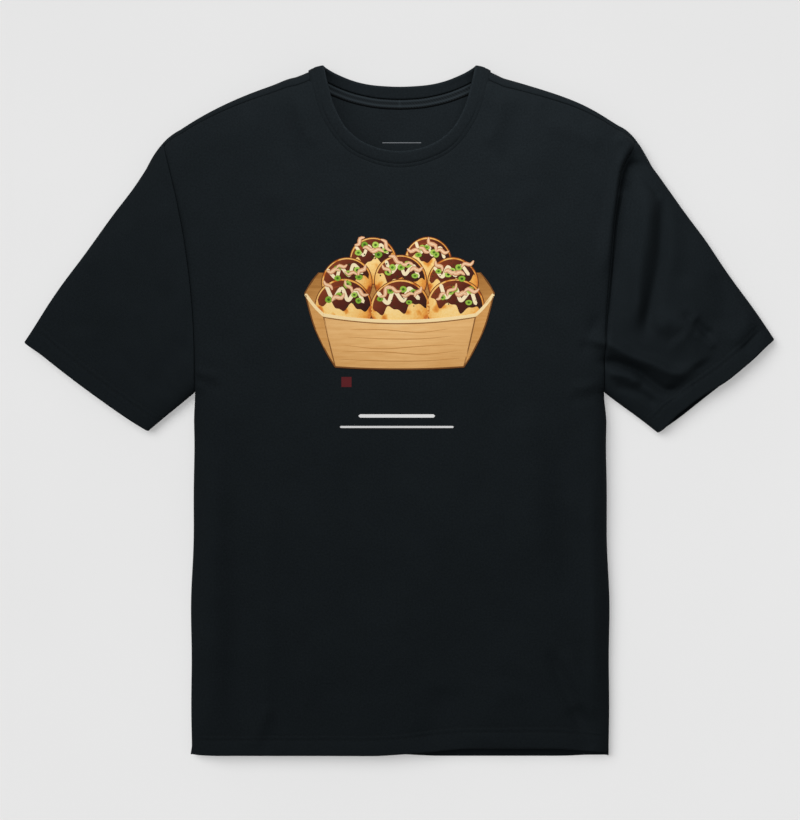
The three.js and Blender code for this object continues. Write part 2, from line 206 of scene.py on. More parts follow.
HEM_DEPTH = 21  # of the turned-up cloth at the hem and the cuffs
HEM_STITCHES = (16.6, 22.2)  # two rows, this far in from the edge
HEM_ROWS = (15.4, 16.6, 17.8, 19.4, 20.8, 22.2, 23.4, 25.2)
SEAM_TURN = 4.4  # from the collar seam to the line of stitches beside it
SEAM_TUCK = 1.6  # the collar's ends reach this far under the panel
TAPE_WIDTH = 10  # as cut
TAPE_SPREAD = 1.12  # how many times its cut width it lies wide on the shirt
RIM_STEP = 3.0  # between the points along a panel's outline

# Waves of the sleeves' upper folds: height, middle and half width
UPPER_FOLD_WAVES = (
    (2.8, -375, 22),
    (-3.0, -292, 18),
    (1.7, -121, 13),
    (2.0, 251, 14),
    (2.0, 337, 16),
    (1.9, 392, 20),
)

# Half of each line round the neck: how far across it is, and how far below the top
NECK_SEAM = (
    *((0, 115.6), (20, 113.2), (40, 106.4), (56, 97.4), (71, 82)),
    *((84.5, 60), (91, 40.5), (95, 24), (98, 7)),
)
NECK_EDGE = (
    *((0, 98.3), (20, 95.8), (34, 91), (46.4, 84), (60, 71)),
    *((70.1, 53), (75, 39.5), (78.5, 26), (81.2, 15), (83.6, 3.6)),
)
BACK_SEAM = ((0, 36), (22, 34.9), (38, 32.2), (53.4, 28.2), (68.8, 22.2), (79.5, 16.8), (98, 7))
BACK_EDGE = ((0, 24), (22, 23), (38, 20.9), (53.4, 16.9), (68.8, 10.8), (78, 6.2), (83.6, 3.2))


def groove(distance, depth, width):
    return -depth * bell(distance, width)


def hem_relief(distance):
    """A turned hem seen from outside: two stitched lines pulled in, and the turned-in layer making the whole
    band a little thicker."""
    pulled = groove(distance - HEM_STITCHES[0], 0.55, 1.3) + groove(distance - HEM_STITCHES[1], 0.7, 1.3)
    return pulled + 0.5 * (1 - smooth((distance - 21.5) / 4))


def edge_dip(distance, depth=0.9, width=1.6):
    """The turn of a panel into its seam."""
    return -depth * np.exp(-distance / width)


def bend(start, control, end):
    """A curve that leaves one point and reaches another, both towards the control."""
    t = np.linspace(0, 1, 25)[:, None]
    return (1 - t) ** 2 * start + 2 * t * (1 - t) * control + t * t * end


class Cut:
    """The cutting pattern of the shirt and the height at which each place of it lies."""

    upper_reach = 36  # how far in from a side the top layer is still rounded
    lower_reach = 16  # the same for the layer underneath
    bow = 11  # the armhole seam bends this far towards the body
    fold = 8.0  # height of the folded rim
    hem_height = 16.0
    shoulder_height = 25.0
    arm_height = 23.0
    cuff_height = 15.0
    hem_curl = 2.2  # how far the front hem stands up from the cloth above it
    neck_drop, shoulder_drop, cuff_drop, underarm_drop = 7, 86, 302, 360  # below the collar's top
    armhole_length = 270
    sleeve_length = 262
    lean = math.radians(36.5)  # of the cuff
    hem_wave = 10.2  # how far the front hem has ridden up on the viewer's right
    armhole_slide = 7.5
    shoulder_push = 4.4
    cuff_slide = 4.4

    def __init__(self, context):
        sizes = context.scene.shirt_sizes
        self.top = sizes.length / MM / 2
        self.hem = 0.8 - self.top
        self.spread = sizes.spread / MM / 2
        self.hem_half = sizes.hem_width / MM / 2
        self.underarm = np.array([sizes.underarm_width / MM / 2, self.top - self.underarm_drop])
        self.shoulder = np.array([sizes.shoulder_width / MM / 2, self.top - self.shoulder_drop])
        self.neck = np.array([sizes.neck_width / MM / 2, self.top - self.neck_drop])
        self.cuff_top = np.array([self.spread, self.top - self.cuff_drop])
        self.cuff_width = sizes.cuff_width / MM
        cuff = np.array([math.cos(self.lean), math.sin(self.lean)])
        low = self.cuff_top - self.cuff_width * cuff
        # the two sleeves lie a little differently
        self.cuff_bottoms = {1: low + (2.9, -3.6), -1: low + (-3.1, -1.8)}
        self.cuff_out = np.array([cuff[1], -cuff[0]])
        self.cloth = sizes.cloth / MM
        self.edge_half = self.neck[0] * NECK_EDGE[-1][0] / NECK_SEAM[-1][0]
        self.chest_height = CAD_BOX[1].z / MM - 0.5
        middle = mix(self.neck, self.shoulder, 0.88) + (0, 5.5)
        arch = mix(self.neck, self.shoulder, 0.5625) + (0, 15.5)
        shoulder = bend(mix(self.neck, self.shoulder, 0.1), arch, middle)
        end = mix(self.shoulder, self.cuff_top, 0.12)
        corner = bend(middle, self.shoulder + (3, 4), end)[1:]
        beyond = mix(end, self.cuff_top, 1.3)
        self.edge_line = np.vstack([[0, self.neck[1] + 30], self.neck, shoulder, corner, beyond])
        self.folds = [(h, w, rounded_path(p, 6)) for h, w, p in FOLDS]

    # -- outlines --

    def upper_edge(self, x):
        """The upper fold of the lying shirt: shoulder, corner, top of the sleeve."""
        return np.interp(np.abs(x), self.edge_line[:, 0], self.edge_line[:, 1])

    def from_upper_edge(self, x, y):
        slope = (self.upper_edge(np.abs(x) + 6) - self.upper_edge(np.abs(x) - 6)) / 12
        return (self.upper_edge(x) - y) / np.hypot(1, slope)

    def armhole_x(self, y):
        along = np.clip((y - self.underarm[1]) / (self.shoulder[1] - self.underarm[1]), 0, 1)
        return mix(self.underarm[0], self.shoulder[0], along) - self.bow * 4 * along * (1 - along)

    def side_x(self, y):
        """Half the width of the torso at y."""
        along = (y - self.hem) / (self.underarm[1] - self.hem)
        sway = 0.9 * np.sin(y / 43 + 0.6) + 0.5 * np.sin(y / 19)
        straight = mix(self.hem_half, self.underarm[0], along) + sway * smooth((self.underarm[1] - y) / 60)
        return np.where(y < self.underarm[1], straight, self.armhole_x(y))

    def from_lower_edge(self, x, y):
        """Distance from the fold under the sleeve."""
        away = {}
        for side, bottom in self.cuff_bottoms.items():
            along = (bottom - self.underarm) / np.linalg.norm(bottom - self.underarm)
            away[side] = (np.abs(x) - self.underarm[0]) * -along[1] + (y - self.underarm[1]) * along[0]
        return np.where(np.asarray(x) > 0, away[1], away[-1])

    def shoulder_seam_y(self, x):
        along = np.clip((np.abs(x) - self.neck[0]) / (self.shoulder[0] - self.neck[0]), 0, 1)
        return self.upper_edge(x) - mix(12, 5, along)

    def seam_corner_y(self):
        """Where the shoulder seam meets the armhole, found by stepping between the two."""
        y = self.shoulder[1]
        for _ in range(30):
            y = float(self.shoulder_seam_y(self.armhole_x(y)))
        return y

    def seam_neck_x(self):
        """Where the shoulder seam meets the collar seam."""
        xs = np.linspace(self.neck[0] * 0.9, self.neck[0], 400)
        return float(xs[np.argmin(np.abs(self.front_seam_y(xs) - self.shoulder_seam_y(xs)))])

    def round_neck(self, points, half, x):
        """The height of a line round the neck, which is the same on both sides."""
        points = np.array(points, float)
        line = rounded_path(np.vstack([points[1] * (-1, 1), points]), 2)
        return self.top - np.interp(np.abs(x) / half, line[:, 0] / points[-1, 0], line[:, 1])

    def front_seam_y(self, x):
        return self.round_neck(NECK_SEAM, self.neck[0], x)

    def front_edge_y(self, x):
        return self.round_neck(NECK_EDGE, self.edge_half, x)

    def back_seam_y(self, x):
        return self.round_neck(BACK_SEAM, self.neck[0], x)

    def back_edge_y(self, x):
        return self.round_neck(BACK_EDGE, self.edge_half, x)

    def from_neck_seam(self, x, y):
        """Distance below the front neck seam."""
        slope = (self.front_seam_y(np.abs(x) + 1) - self.front_seam_y(np.abs(x) - 1)) / 2
        return np.maximum(self.front_seam_y(x) - y, 0) / np.hypot(1, slope)

    def hem_y(self, x):
        """The front hem, which has ridden up on the viewer's right and come partly down again at the side."""
        ridden = smooth((x + 30) / 115) * (1 - 0.52 * smooth((x - 165) / 62))
        return self.hem + 0.4 + self.hem_wave * ridden

    def settled(self, verts):
        """The cloth as it has slid. On the viewer's right the armhole lies further in than the pattern
        has it, the shoulder a little higher and the side further out. The hem and the left cuff's tip
        are uneven."""
        x, y = verts[:, 0], verts[:, 1]
        in_armhole = smooth((y - 105) / 105) * smooth((292 - y) / 34)
        slid = self.armhole_slide * bell(x - 252, 17) * in_armhole
        below_arm = smooth((self.underarm[1] - 4 - y) / 30)
        slack = below_arm * (2.3 * smooth((x - 120) / 100) - 0.8 * smooth((-120 - x) / 100))
        pushed = self.shoulder_push * bell(x - 212, 52) * smooth((y - 250) / 60)
        hem_lift = 1.3 - 2.2 * smooth((x + 15) / 60) + 1.2 * smooth((x - 175) / 35)
        pushed = pushed + hem_lift * smooth((self.hem + 40 - y) / 40)
        near_fold = smooth((60 - self.upper_edge(x) + y) / 50)
        for height, middle, width in UPPER_FOLD_WAVES:
            pushed = pushed + height * bell(x - middle, width) * near_fold
        tip = smooth((-385 - x) / 27)
        return np.column_stack([x - slid + slack - 0.6 * tip, y + pushed - 2.6 * tip, verts[:, 2]])

    # -- heights --

    def rolled(self, x, y, reach, seam_share):
        """How far the torso has risen from its folded rim, from 0 to 1."""
        side = self.side_x(y) - np.abs(x)
        at_seam = roll(self.from_lower_edge(self.armhole_x(y), y), reach)
        share = np.where(y > self.underarm[1], at_seam * seam_share, 0)
        wide = reach * (1 + 0.8 * smooth((y - self.underarm[1]) / 60))
        # the body's edge on the viewer's right is folded more tightly
        below_arm = smooth((self.underarm[1] + 10 - y) / 70)
        wide = wide * (1 - 0.45 * smooth(np.asarray(x) / 60) * below_arm)
        return (share + (1 - share) * roll(side, wide)) * roll(self.from_upper_edge(x, y), reach)

    def crumple(self, x, y):
        """The folds, and the slight unevenness of cloth that has been laid down by hand."""
        total = 1.0 * wander(x, y, 95, 3.1) + 0.35 * wander(x, y, 34, 7.7) + 0.1 * wander(x, y, 13, 1.3)
        for height, width, line in self.folds:
            low, high = line.min(0) - 3 * width, line.max(0) + 3 * width
            near = (x > low[0]) & (x < high[0]) & (y > low[1]) & (y < high[1])
            if not np.any(near):
                continue
            away, along = nearest_on(line, x[near], y[near])
            ends = smooth(along / 0.22) * smooth((1 - along) / 0.22)
            total[near] += height * bell(away, width) * ends
        return total

    def torso_top(self, x, y):
        x, y = np.asarray(x, float), np.asarray(y, float)
        crown = mix(self.chest_height, self.shoulder_height, smooth((np.abs(x) - 130) / 130))
        height = mix(self.hem_height, crown, np.clip((y - self.hem) / (self.underarm[1] - self.hem), 0, 1))
        share = (self.arm_height - self.fold) / (height - self.fold)
        risen = self.rolled(x, y, self.upper_reach, share)
        below_arm = y < self.underarm[1]
        calm = np.where(below_arm, smooth((self.side_x(y) - np.abs(x)) / 22), 1)
        calm = calm * smooth(self.from_upper_edge(x, y) / 16)
        near_underarm = smooth(np.hypot(np.abs(x) - self.underarm[0], y - self.underarm[1]) / 24)
        return self.fold + (height - self.fold) * risen + self.crumple(x, y) * calm * near_underarm

    def front_height(self, x, y):
        """The front panel's height, with its hem and the turns into its seams."""
        height = self.torso_top(x, y)
        height = height + hem_relief(y - self.hem_y(x)) * smooth((self.side_x(y) - np.abs(x)) / 14)
        curled = 1 - smooth((y - self.hem_y(x)) / 20)
        height = height + self.hem_curl * curled * smooth((self.side_x(y) - np.abs(x)) / 40)
        above_arm = y > self.underarm[1]
        from_seam = np.maximum(self.armhole_x(y) - np.abs(x), 0)
        dip = edge_dip(from_seam, 1.5, 1.5) * smooth((y - self.underarm[1]) / 30)
        height = height + np.where(above_arm, dip, 0)
        from_shoulder = np.maximum(self.shoulder_seam_y(x) - y, 0)
        height = height + np.where(y > 250, edge_dip(from_shoulder, 2.1, 1.5), 0)
        height = height + np.where(y > 200, edge_dip(self.from_neck_seam(x, y), 0.5, 1.2), 0)
        return np.where(above_arm, height, np.maximum(height, self.fold + SEAM_GAP))

    def torso_bottom(self, x, y):
        x, y = np.asarray(x, float), np.asarray(y, float)
        return self.fold * (1 - self.rolled(x, y, self.lower_reach, 1.0))

    # -- sleeves: u from the lower fold to the upper, share of each fold's length from the armhole --

    def across(self, count):
        """Places across a sleeve, crowded at its folds, where the cloth turns."""
        t = np.linspace(0, 1, count)
        return 0.5 * t + 0.25 * (1 - np.cos(math.pi * t))

    def cuff_share(self, distance):
        """Shares of the lower and upper folds at a line this far inside the cuff."""
        lower = np.linalg.norm(self.cuff_bottoms[1] - self.underarm)
        upper = np.linalg.norm(self.cuff_top - self.shoulder)
        return 1 - distance / lower, 1 - distance / upper

    def sleeve_rows(self):
        """Pairs of shares down a sleeve, with rows of their own along the cuff's hem."""
        low_end, high_end = self.cuff_share(26)
        steps = np.concatenate([[0, 0.003, 0.009, 0.018], np.linspace(0.03, 1, 74)])
        near_cuff = [self.cuff_share(d) for d in (*HEM_ROWS[::-1], 12, 8, 4, 1.2, 0)]
        return [(t * low_end, t * high_end) for t in steps] + near_cuff

    def sleeve_plan(self, side, u, share, top=False):
        """Where a sleeve's places lie in plan. The top layer of the viewer's right cuff has slid back."""
        low = mix(self.underarm, self.cuff_bottoms[side], share[0])
        edge_x = mix(self.shoulder[0], self.cuff_top[0], share[1])
        high = np.array([edge_x, float(self.upper_edge(edge_x))])
        bow = self.bow * 4 * u * (1 - u) * max(0, 1 - share[1] * 2.2) ** 2
        x = mix(low[0], high[0], u) - bow + SEAM_GAP * (share[1] < 0.01)
        y = mix(low[1], high[1], u)
        from_cuff = (1 - share[1]) * np.linalg.norm(self.cuff_top - self.shoulder)
        out = (3.0 if side > 0 else 3.2) * 4 * u * (1 - u) * smooth(1 - from_cuff / 70)
        if top and side > 0:
            slid = smooth((u - 0.02) / 0.16) * smooth((0.62 - u) / 0.3)
            out = out - self.cuff_slide * slid * smooth(1 - from_cuff / 40)
        return side * (x + out * self.cuff_out[0]), y + out * self.cuff_out[1]

    def sleeve_height(self, side, u, share):
        """The top layer's height, with its hem and its turn into the armhole seam."""
        x, y = self.sleeve_plan(side, u, share, top=True)
        height = mix(self.arm_height, self.cuff_height, share[1])
        low, high = self.from_lower_edge(x, y), self.from_upper_edge(x, y)
        risen = roll(low, self.upper_reach) * roll(high, self.upper_reach)
        near_underarm = smooth(np.hypot(np.abs(x) - self.underarm[0], y - self.underarm[1]) / 24)
        calm = smooth(low / 20) * smooth(high / 16) * near_underarm
        from_cuff = (1 - share[1]) * np.linalg.norm(self.cuff_top - self.shoulder)
        relief = hem_relief(from_cuff) * smooth(u * 8) * smooth((1 - u) * 8)
        from_seam = share[1] * self.sleeve_length
        dip = edge_dip(from_seam, 1.5, 1.8) * smooth(u * 9)
        if side > 0:
            # this sleeve has sunk beside its seam, most of all near the shoulder
            climb = np.clip((y - 80) / 180, 0, 1)
            sunk = mix(6.5, 13, climb) * smooth((276 - y) / 9) * smooth((y - 56) / 30)
            wall = 1 - bell(from_seam, mix(3.6, 8, climb))
            dip = dip - sunk * wall * bell(from_seam, mix(8, 18, climb))
        return self.fold + (height - self.fold) * risen + self.crumple(x, y) * calm + relief + dip

    def sleeve_bottom(self, x, y):
        low, high = self.from_lower_edge(x, y), self.from_upper_edge(x, y)
        return self.fold * (1 - roll(low, self.lower_reach) * roll(high, self.lower_reach))


# ---- Meshes ----


def hex_colour(code):
    """An sRGB hex value as linear red, green, blue and full alpha."""
    parts = [int(code[i : i + 2], 16) / 255 for i in (1, 3, 5)]
    return tuple(p / 12.92 if p <= 0.04045 else ((p + 0.055) / 1.055) ** 2.4 for p in parts) + (1.0,)


def inside(outline, points):
    """Which points are inside a closed outline."""
    x, y = points[:, 0], points[:, 1]
    within = np.zeros(len(points), bool)
    ax, ay = outline[-1]
    for bx, by in outline:
        crosses = (ay > y) != (by > y)
        if by != ay:
            within ^= crosses & (x < (bx - ax) * (y - ay) / (by - ay) + ax)
        ax, ay = bx, by
    return within


def tree_of(points):
    tree = kdtree.KDTree(len(points))
    for i, (a, b) in enumerate(points):
        tree.insert((a, b, 0), i)
    tree.balance()
    return tree


def further_than(points, tree, distance):
    """The points further than this from everything in a tree."""
    away = np.array([tree.find((a, b, 0))[2] for a, b in points])
    return points[away > distance] if len(points) else points


def signed_area(outline):
    ahead = np.roll(outline, -1, 0)
    return float(np.sum(outline[:, 0] * ahead[:, 1] - outline[:, 1] * ahead[:, 0]) / 2)


def fill(outline, spacing, rows=(), extra=None):
    """Fills a closed outline with triangles. rows are distances inside it that get points of their own, and
    extra is a list of more points. Returns the points and the triangles, which face up."""
    outline = np.array(outline, float)
    if signed_area(outline) < 0:
        outline = outline[::-1]
    ahead = np.roll(outline, -1, 0) - np.roll(outline, 1, 0)
    inward = np.stack([-ahead[:, 1], ahead[:, 0]], 1) / np.linalg.norm(ahead, axis=1)[:, None]
    step = np.roll(outline, -1, 0) - outline
    rim = tree_of(np.vstack([outline + step * t for t in (0, 0.25, 0.5, 0.75)]))
    groups = [outline]
    for distance in rows:
        row = outline + inward * distance
        groups.append(further_than(row[inside(outline, row)], rim, distance * 0.93))
    x0, y0, x1, y1 = *outline.min(0), *outline.max(0)
    lines = np.arange(y0, y1, spacing * 0.866)
    field = [(x, y) for j, y in enumerate(lines) for x in np.arange(x0 + spacing / 2 * (j % 2), x1, spacing)]
    field = np.array(field).reshape(-1, 2)
    field = further_than(field[inside(outline, field)], rim, max(rows, default=0) + spacing * 0.5)
    if extra is not None:
        extra = np.array(extra, float)
        extra = further_than(extra[inside(outline, extra)], rim, 0.8)
        groups.append(extra)
        field = further_than(field, tree_of(extra), spacing * 0.45)
    points = np.vstack([*groups, field])
    count = len(outline)
    edges = [(i, (i + 1) % count) for i in range(count)]
    found = delaunay_2d_cdt([Vector(p) for p in points], edges, [], 1, 1e-4)
    return np.array([tuple(v) for v in found[0]]), np.array([f for f in found[2] if len(f) == 3])


def grid_faces(rows, columns, start=0, flip=False, wrap_rows=False, wrap_columns=False):
    """Triangles of a grid of points, row by row."""
    faces = []
    for i in range(rows if wrap_rows else rows - 1):
        for j in range(columns if wrap_columns else columns - 1):
            a, b = start + i * columns + j, start + i * columns + (j + 1) % columns
            d, c = start + (i + 1) % rows * columns + j, start + (i + 1) % rows * columns + (j + 1) % columns
            faces += [(a, c, b), (a, d, c)] if flip else [(a, b, c), (a, c, d)]
    return np.array(faces)


def vertex_normals(verts, faces):
    a, b, c = verts[faces[:, 0]], verts[faces[:, 1]], verts[faces[:, 2]]
    face = np.cross(b - a, c - a)
    total = np.zeros_like(verts)
    for k in range(3):
        np.add.at(total, faces[:, k], face)
    return total / np.maximum(np.linalg.norm(total, axis=1), 1e-12)[:, None]


def rim_edges(faces):
    """The directed edges that only one triangle uses."""
    used = {(int(f[k]), int(f[(k + 1) % 3])) for f in faces for k in range(3)}
    return sorted(e for e in used if (e[1], e[0]) not in used)


def weld(verts, faces, uv, reach=0.02):
    """Joins places that meet, and drops the triangles that this flattens."""
    numbers, kept = {}, []
    new_index = np.zeros(len(verts), int)
    for i, v in enumerate(verts):
        key = tuple(np.round(v / reach).astype(int))
        if key not in numbers:
            numbers[key] = len(kept)
            kept.append(i)
        new_index[i] = numbers[key]
    faces = new_index[faces]
    whole = (faces[:, 0] != faces[:, 1]) & (faces[:, 1] != faces[:, 2]) & (faces[:, 2] != faces[:, 0])
    return verts[kept], faces[whole], uv[kept]


def shell(name, verts, faces, uv, thickness, material, nose=0.45, shade=None):
    """Gives a sheet its thickness, on the side its faces look away from, with a rounded rim all round."""
    normals = vertex_normals(verts, faces)
    thickness = np.broadcast_to(thickness, len(verts))
    inner = verts - normals * thickness[:, None]
    count = len(verts)
    rim = rim_edges(faces)
    outward = np.zeros_like(verts)
    for a, b in rim:
        away = np.cross(verts[b] - verts[a], normals[a])
        outward[[a, b]] += away / max(np.linalg.norm(away), 1e-9)
    on_rim = sorted({i for e in rim for i in e})
    number = {v: 2 * count + i for i, v in enumerate(on_rim)}
    length = np.maximum(np.linalg.norm(outward[on_rim], axis=1), 1e-9)[:, None]
    middle = (verts[on_rim] + inner[on_rim]) / 2
    middle = middle + outward[on_rim] / length * thickness[on_rim][:, None] * nose
    walls = []
    for a, b in rim:
        m, n = number[a], number[b]
        walls += [(b, a, m), (b, m, n), (n, m, a + count), (n, a + count, b + count)]
    obj = mesh_object(
        name,
        np.vstack([verts, inner, middle]),
        np.vstack([faces, faces[:, ::-1] + count, np.array(walls)]),
        np.vstack([uv, uv, uv[on_rim]]),
        material,
    )
    if shade is not None:
        set_shade(obj.data, np.concatenate([shade, shade, shade[on_rim]]))
    return obj


def link_object(name, mesh):
    obj = bpy.data.objects.new(name, mesh)
    bpy.context.scene.collection.objects.link(obj)
    return obj


def mesh_object(name, verts, faces, uv, material, crease=50):
    mesh = bpy.data.meshes.new(name)
    mesh.from_pydata((np.asarray(verts) * MM).tolist(), [], np.asarray(faces).tolist())
    if uv is not None:
        layer = mesh.uv_layers.new(name="weave")
        corners = np.zeros(len(mesh.loops), int)
        mesh.loops.foreach_get("vertex_index", corners)
        layer.data.foreach_set("uv", (np.asarray(uv) * MM)[corners].ravel())
    mesh.shade_smooth()
    mesh.set_sharp_from_angle(angle=math.radians(crease))
    mesh.materials.append(material)
    return link_object(name, mesh)


def set_shade(mesh, values):
    layer = mesh.attributes.new("shade", "FLOAT", "POINT")
    layer.data.foreach_set("value", np.ravel(values).astype(np.float32))


def path_object(name, lines, shade=None):
    """A mesh of edges only, one chain for each line, for a node tree to follow."""
    verts, edges = [], []
    for line in lines:
        start = len(verts)
        verts += [tuple(p) for p in np.asarray(line) * MM]
        edges += [(start + i, start + i + 1) for i in range(len(line) - 1)]
    mesh = bpy.data.meshes.new(name)
    mesh.from_pydata(verts, edges, [])
    if shade is not None:
        set_shade(mesh, shade)
    return link_object(name, mesh)


# ---- Node trees ----


def add_node(tree, kind, links=None, **settings):
    """Adds a node. Settings are its own values or else its inputs', and links join its inputs to outputs."""
    node = tree.nodes.new(kind)
    for key, value in settings.items():
        if hasattr(node, key):
            setattr(node, key, value)
        else:
            node.inputs[key.replace("_", " ")].default_value = value
    for key, source in (links or {}).items():
        tree.links.new(source, node.inputs[key])
    return node


def new_tree(name, sizes):
    """A Geometry Nodes tree with named sizes. Returns the tree, its input node and its sizes' identifiers."""
    tree = bpy.data.node_groups.new(name, "GeometryNodeTree")
    tree.interface.new_socket("Geometry", in_out="INPUT", socket_type="NodeSocketGeometry")
    tree.interface.new_socket("Geometry", in_out="OUTPUT", socket_type="NodeSocketGeometry")
    identifiers = {}
    for key in sizes:
        socket = tree.interface.new_socket(key, in_out="INPUT", socket_type="NodeSocketFloat")
        socket.subtype = "DISTANCE"
        identifiers[key] = socket.identifier
    return tree, add_node(tree, "NodeGroupInput"), identifiers


def end_tree(tree, geometry, material):
    real = add_node(tree, "GeometryNodeRealizeInstances", {"Geometry": geometry})
    dressed = add_node(tree, "GeometryNodeSetMaterial", {"Geometry": real.outputs[0]}, Material=material)
    add_node(tree, "NodeGroupOutput", {"Geometry": dressed.outputs[0]})


def stitch_tree(material):
    """Sets a stitch at every pitch along each line, lying along it."""
    sizes = ("Pitch", "Stitch length", "Thread radius")
    tree, given, identifiers = new_tree("sewn_stitches", sizes)
    line = add_node(tree, "GeometryNodeMeshToCurve", {"Mesh": given.outputs["Geometry"]})
    points = add_node(
        tree,
        "GeometryNodeCurveToPoints",
        {"Curve": line.outputs[0], "Length": given.outputs["Pitch"]},
        mode="LENGTH",
    )
    aim = add_node(
        tree, "FunctionNodeAlignRotationToVector", {"Vector": points.outputs["Tangent"]}, axis="Z"
    )
    half = add_node(tree, "ShaderNodeMath", {0: given.outputs["Stitch length"]}, operation="MULTIPLY")
    half.inputs[1].default_value = 0.5
    thread = given.outputs["Thread radius"]
    size = add_node(tree, "ShaderNodeCombineXYZ", {"X": thread, "Y": thread, "Z": half.outputs[0]})
    bead = add_node(tree, "GeometryNodeMeshIcoSphere", Radius=1.0, Subdivisions=1)
    soft = add_node(tree, "GeometryNodeSetShadeSmooth", {"Geometry": bead.outputs["Mesh"]})
    placed = add_node(
        tree,
        "GeometryNodeInstanceOnPoints",
        {
            "Points": points.outputs["Points"],
            "Instance": soft.outputs[0],
            "Rotation": aim.outputs[0],
            "Scale": size.outputs[0],
        },
    )
    end_tree(tree, placed.outputs[0], material)
    return tree, identifiers


def wale_tree(material):
    """Runs a round rib of yarn along each line."""
    tree, given, identifiers = new_tree("rib_wales", ("Wale radius",))
    line = add_node(tree, "GeometryNodeMeshToCurve", {"Mesh": given.outputs["Geometry"]})
    radius = {"Radius": given.outputs["Wale radius"]}
    section = add_node(tree, "GeometryNodeCurvePrimitiveCircle", radius, mode="RADIUS", Resolution=6)
    rib = add_node(
        tree,
        "GeometryNodeCurveToMesh",
        {"Curve": line.outputs[0], "Profile Curve": section.outputs["Curve"]},
        Fill_Caps=True,
    )
    end_tree(tree, rib.outputs[0], material)
    return tree, identifiers


def grown(obj, tree, identifiers, **sizes):
    """Runs a tree on an object with these sizes, and keeps the result as a plain mesh."""
    modifier = obj.modifiers.new(tree.name, "NODES")
    modifier.node_group = tree
    for key, value in sizes.items():
        modifier[identifiers[key.replace("_", " ")]] = value
    graph = bpy.context.evaluated_depsgraph_get()
    mesh = bpy.data.meshes.new_from_object(obj.evaluated_get(graph), depsgraph=graph)
    obj.modifiers.clear()
    obj.data = mesh
    return obj


# ---- Materials ----


def new_material(name):
    material = bpy.data.materials.new(name)
    material.use_nodes = True
    tree = material.node_tree
    tree.nodes.clear()
    shader = add_node(tree, "ShaderNodeBsdfPrincipled")
    add_node(tree, "ShaderNodeOutputMaterial", {"Surface": shader.outputs["BSDF"]})
    return material, tree, shader


def set_shader(shader, **values):
    for key, value in values.items():
        shader.inputs[key.replace("_", " ")].default_value = value


def colour_by(tree, shader, value, stops):
    """Runs a value through places and colours into the shader's base colour."""
    ramp = add_node(tree, "ShaderNodeValToRGB", {"Fac": value})
    elements = ramp.color_ramp.elements
    while len(elements) < len(stops):
        elements.new(0.5)
    for element, (place, colour) in zip(elements, stops):
        element.position = place
        element.color = colour
    tree.links.new(ramp.outputs["Color"], shader.inputs["Base Color"])


def colour_times(colour, gain):
    """A cloth's colour as the property group gives it, made lighter or darker by a gain. It makes the random
    tones, and the painted highlight and painted shadow of the rib and the tape.
    """
    return tuple(min(1.0, c * gain) for c in tuple(colour)[:3]) + (1.0,)


def cloth_map(tree, pitch=None):
    """The cloth's own map in metres, or turned to one unit for each pitch in millimetres."""
    at = add_node(tree, "ShaderNodeUVMap", uv_map="weave").outputs["UV"]
    if pitch is None:
        return at
    across, along = (1 / (p * MM) for p in pitch)
    return add_node(tree, "ShaderNodeMapping", {"Vector": at}, Scale=(across, along, 1)).outputs["Vector"]


COTTON = {
    "Roughness": 0.86,
    "IOR": 1.45,
    "Specular_IOR_Level": 0.05,
    "Sheen_Weight": 0.004,
    "Sheen_Roughness": 0.5,
    "Sheen_Tint": hex_colour("#c9d6e0"),
}


def make_jersey(colours):
    """Combed cotton jersey, knitted and then piece-dyed black. It is matt and a little uneven in tone, its
    nap lightens it where it turns away, and its wales give it a faint grain."""
    material, tree, shader = new_material("dyed_cotton_jersey")
    at = cloth_map(tree)
    cloud = add_node(tree, "ShaderNodeTexNoise", {"Vector": at}, Scale=26, Detail=5, Roughness=0.6)
    fleck = add_node(tree, "ShaderNodeTexNoise", {"Vector": at}, Scale=480, Detail=3, Roughness=0.7)
    pair = {2: cloud.outputs["Fac"], 3: fleck.outputs["Fac"]}
    both = add_node(tree, "ShaderNodeMix", pair, data_type="FLOAT")
    both.inputs[0].default_value = 0.8
    stops = ((0.36, colour_times(colours.jersey, 0.84)), (0.64, colour_times(colours.jersey, 1.2)))
    colour_by(tree, shader, both.outputs[0], stops)
    # real wales are 0.9 mm apart; these are 1.8 mm, so that they show
    wales = add_node(
        tree,
        "ShaderNodeTexWave",
        {"Vector": cloth_map(tree, (11.3, 11.3))},
        bands_direction="X",
        Scale=2.0,
        Distortion=1.2,
        Detail=2.0,
        Detail_Scale=4.0,
    )
    height = {"Height": fleck.outputs["Fac"]}
    nap = add_node(tree, "ShaderNodeBump", height, Strength=0.35, Distance=0.35 * MM)
    knit = add_node(
        tree,
        "ShaderNodeBump",
        {"Height": wales.outputs["Fac"], "Normal": nap.outputs["Normal"]},
        Strength=0.3,
        Distance=0.14 * MM,
    )
    tree.links.new(knit.outputs["Normal"], shader.inputs["Normal"])
    set_shader(shader, **COTTON)
    return material


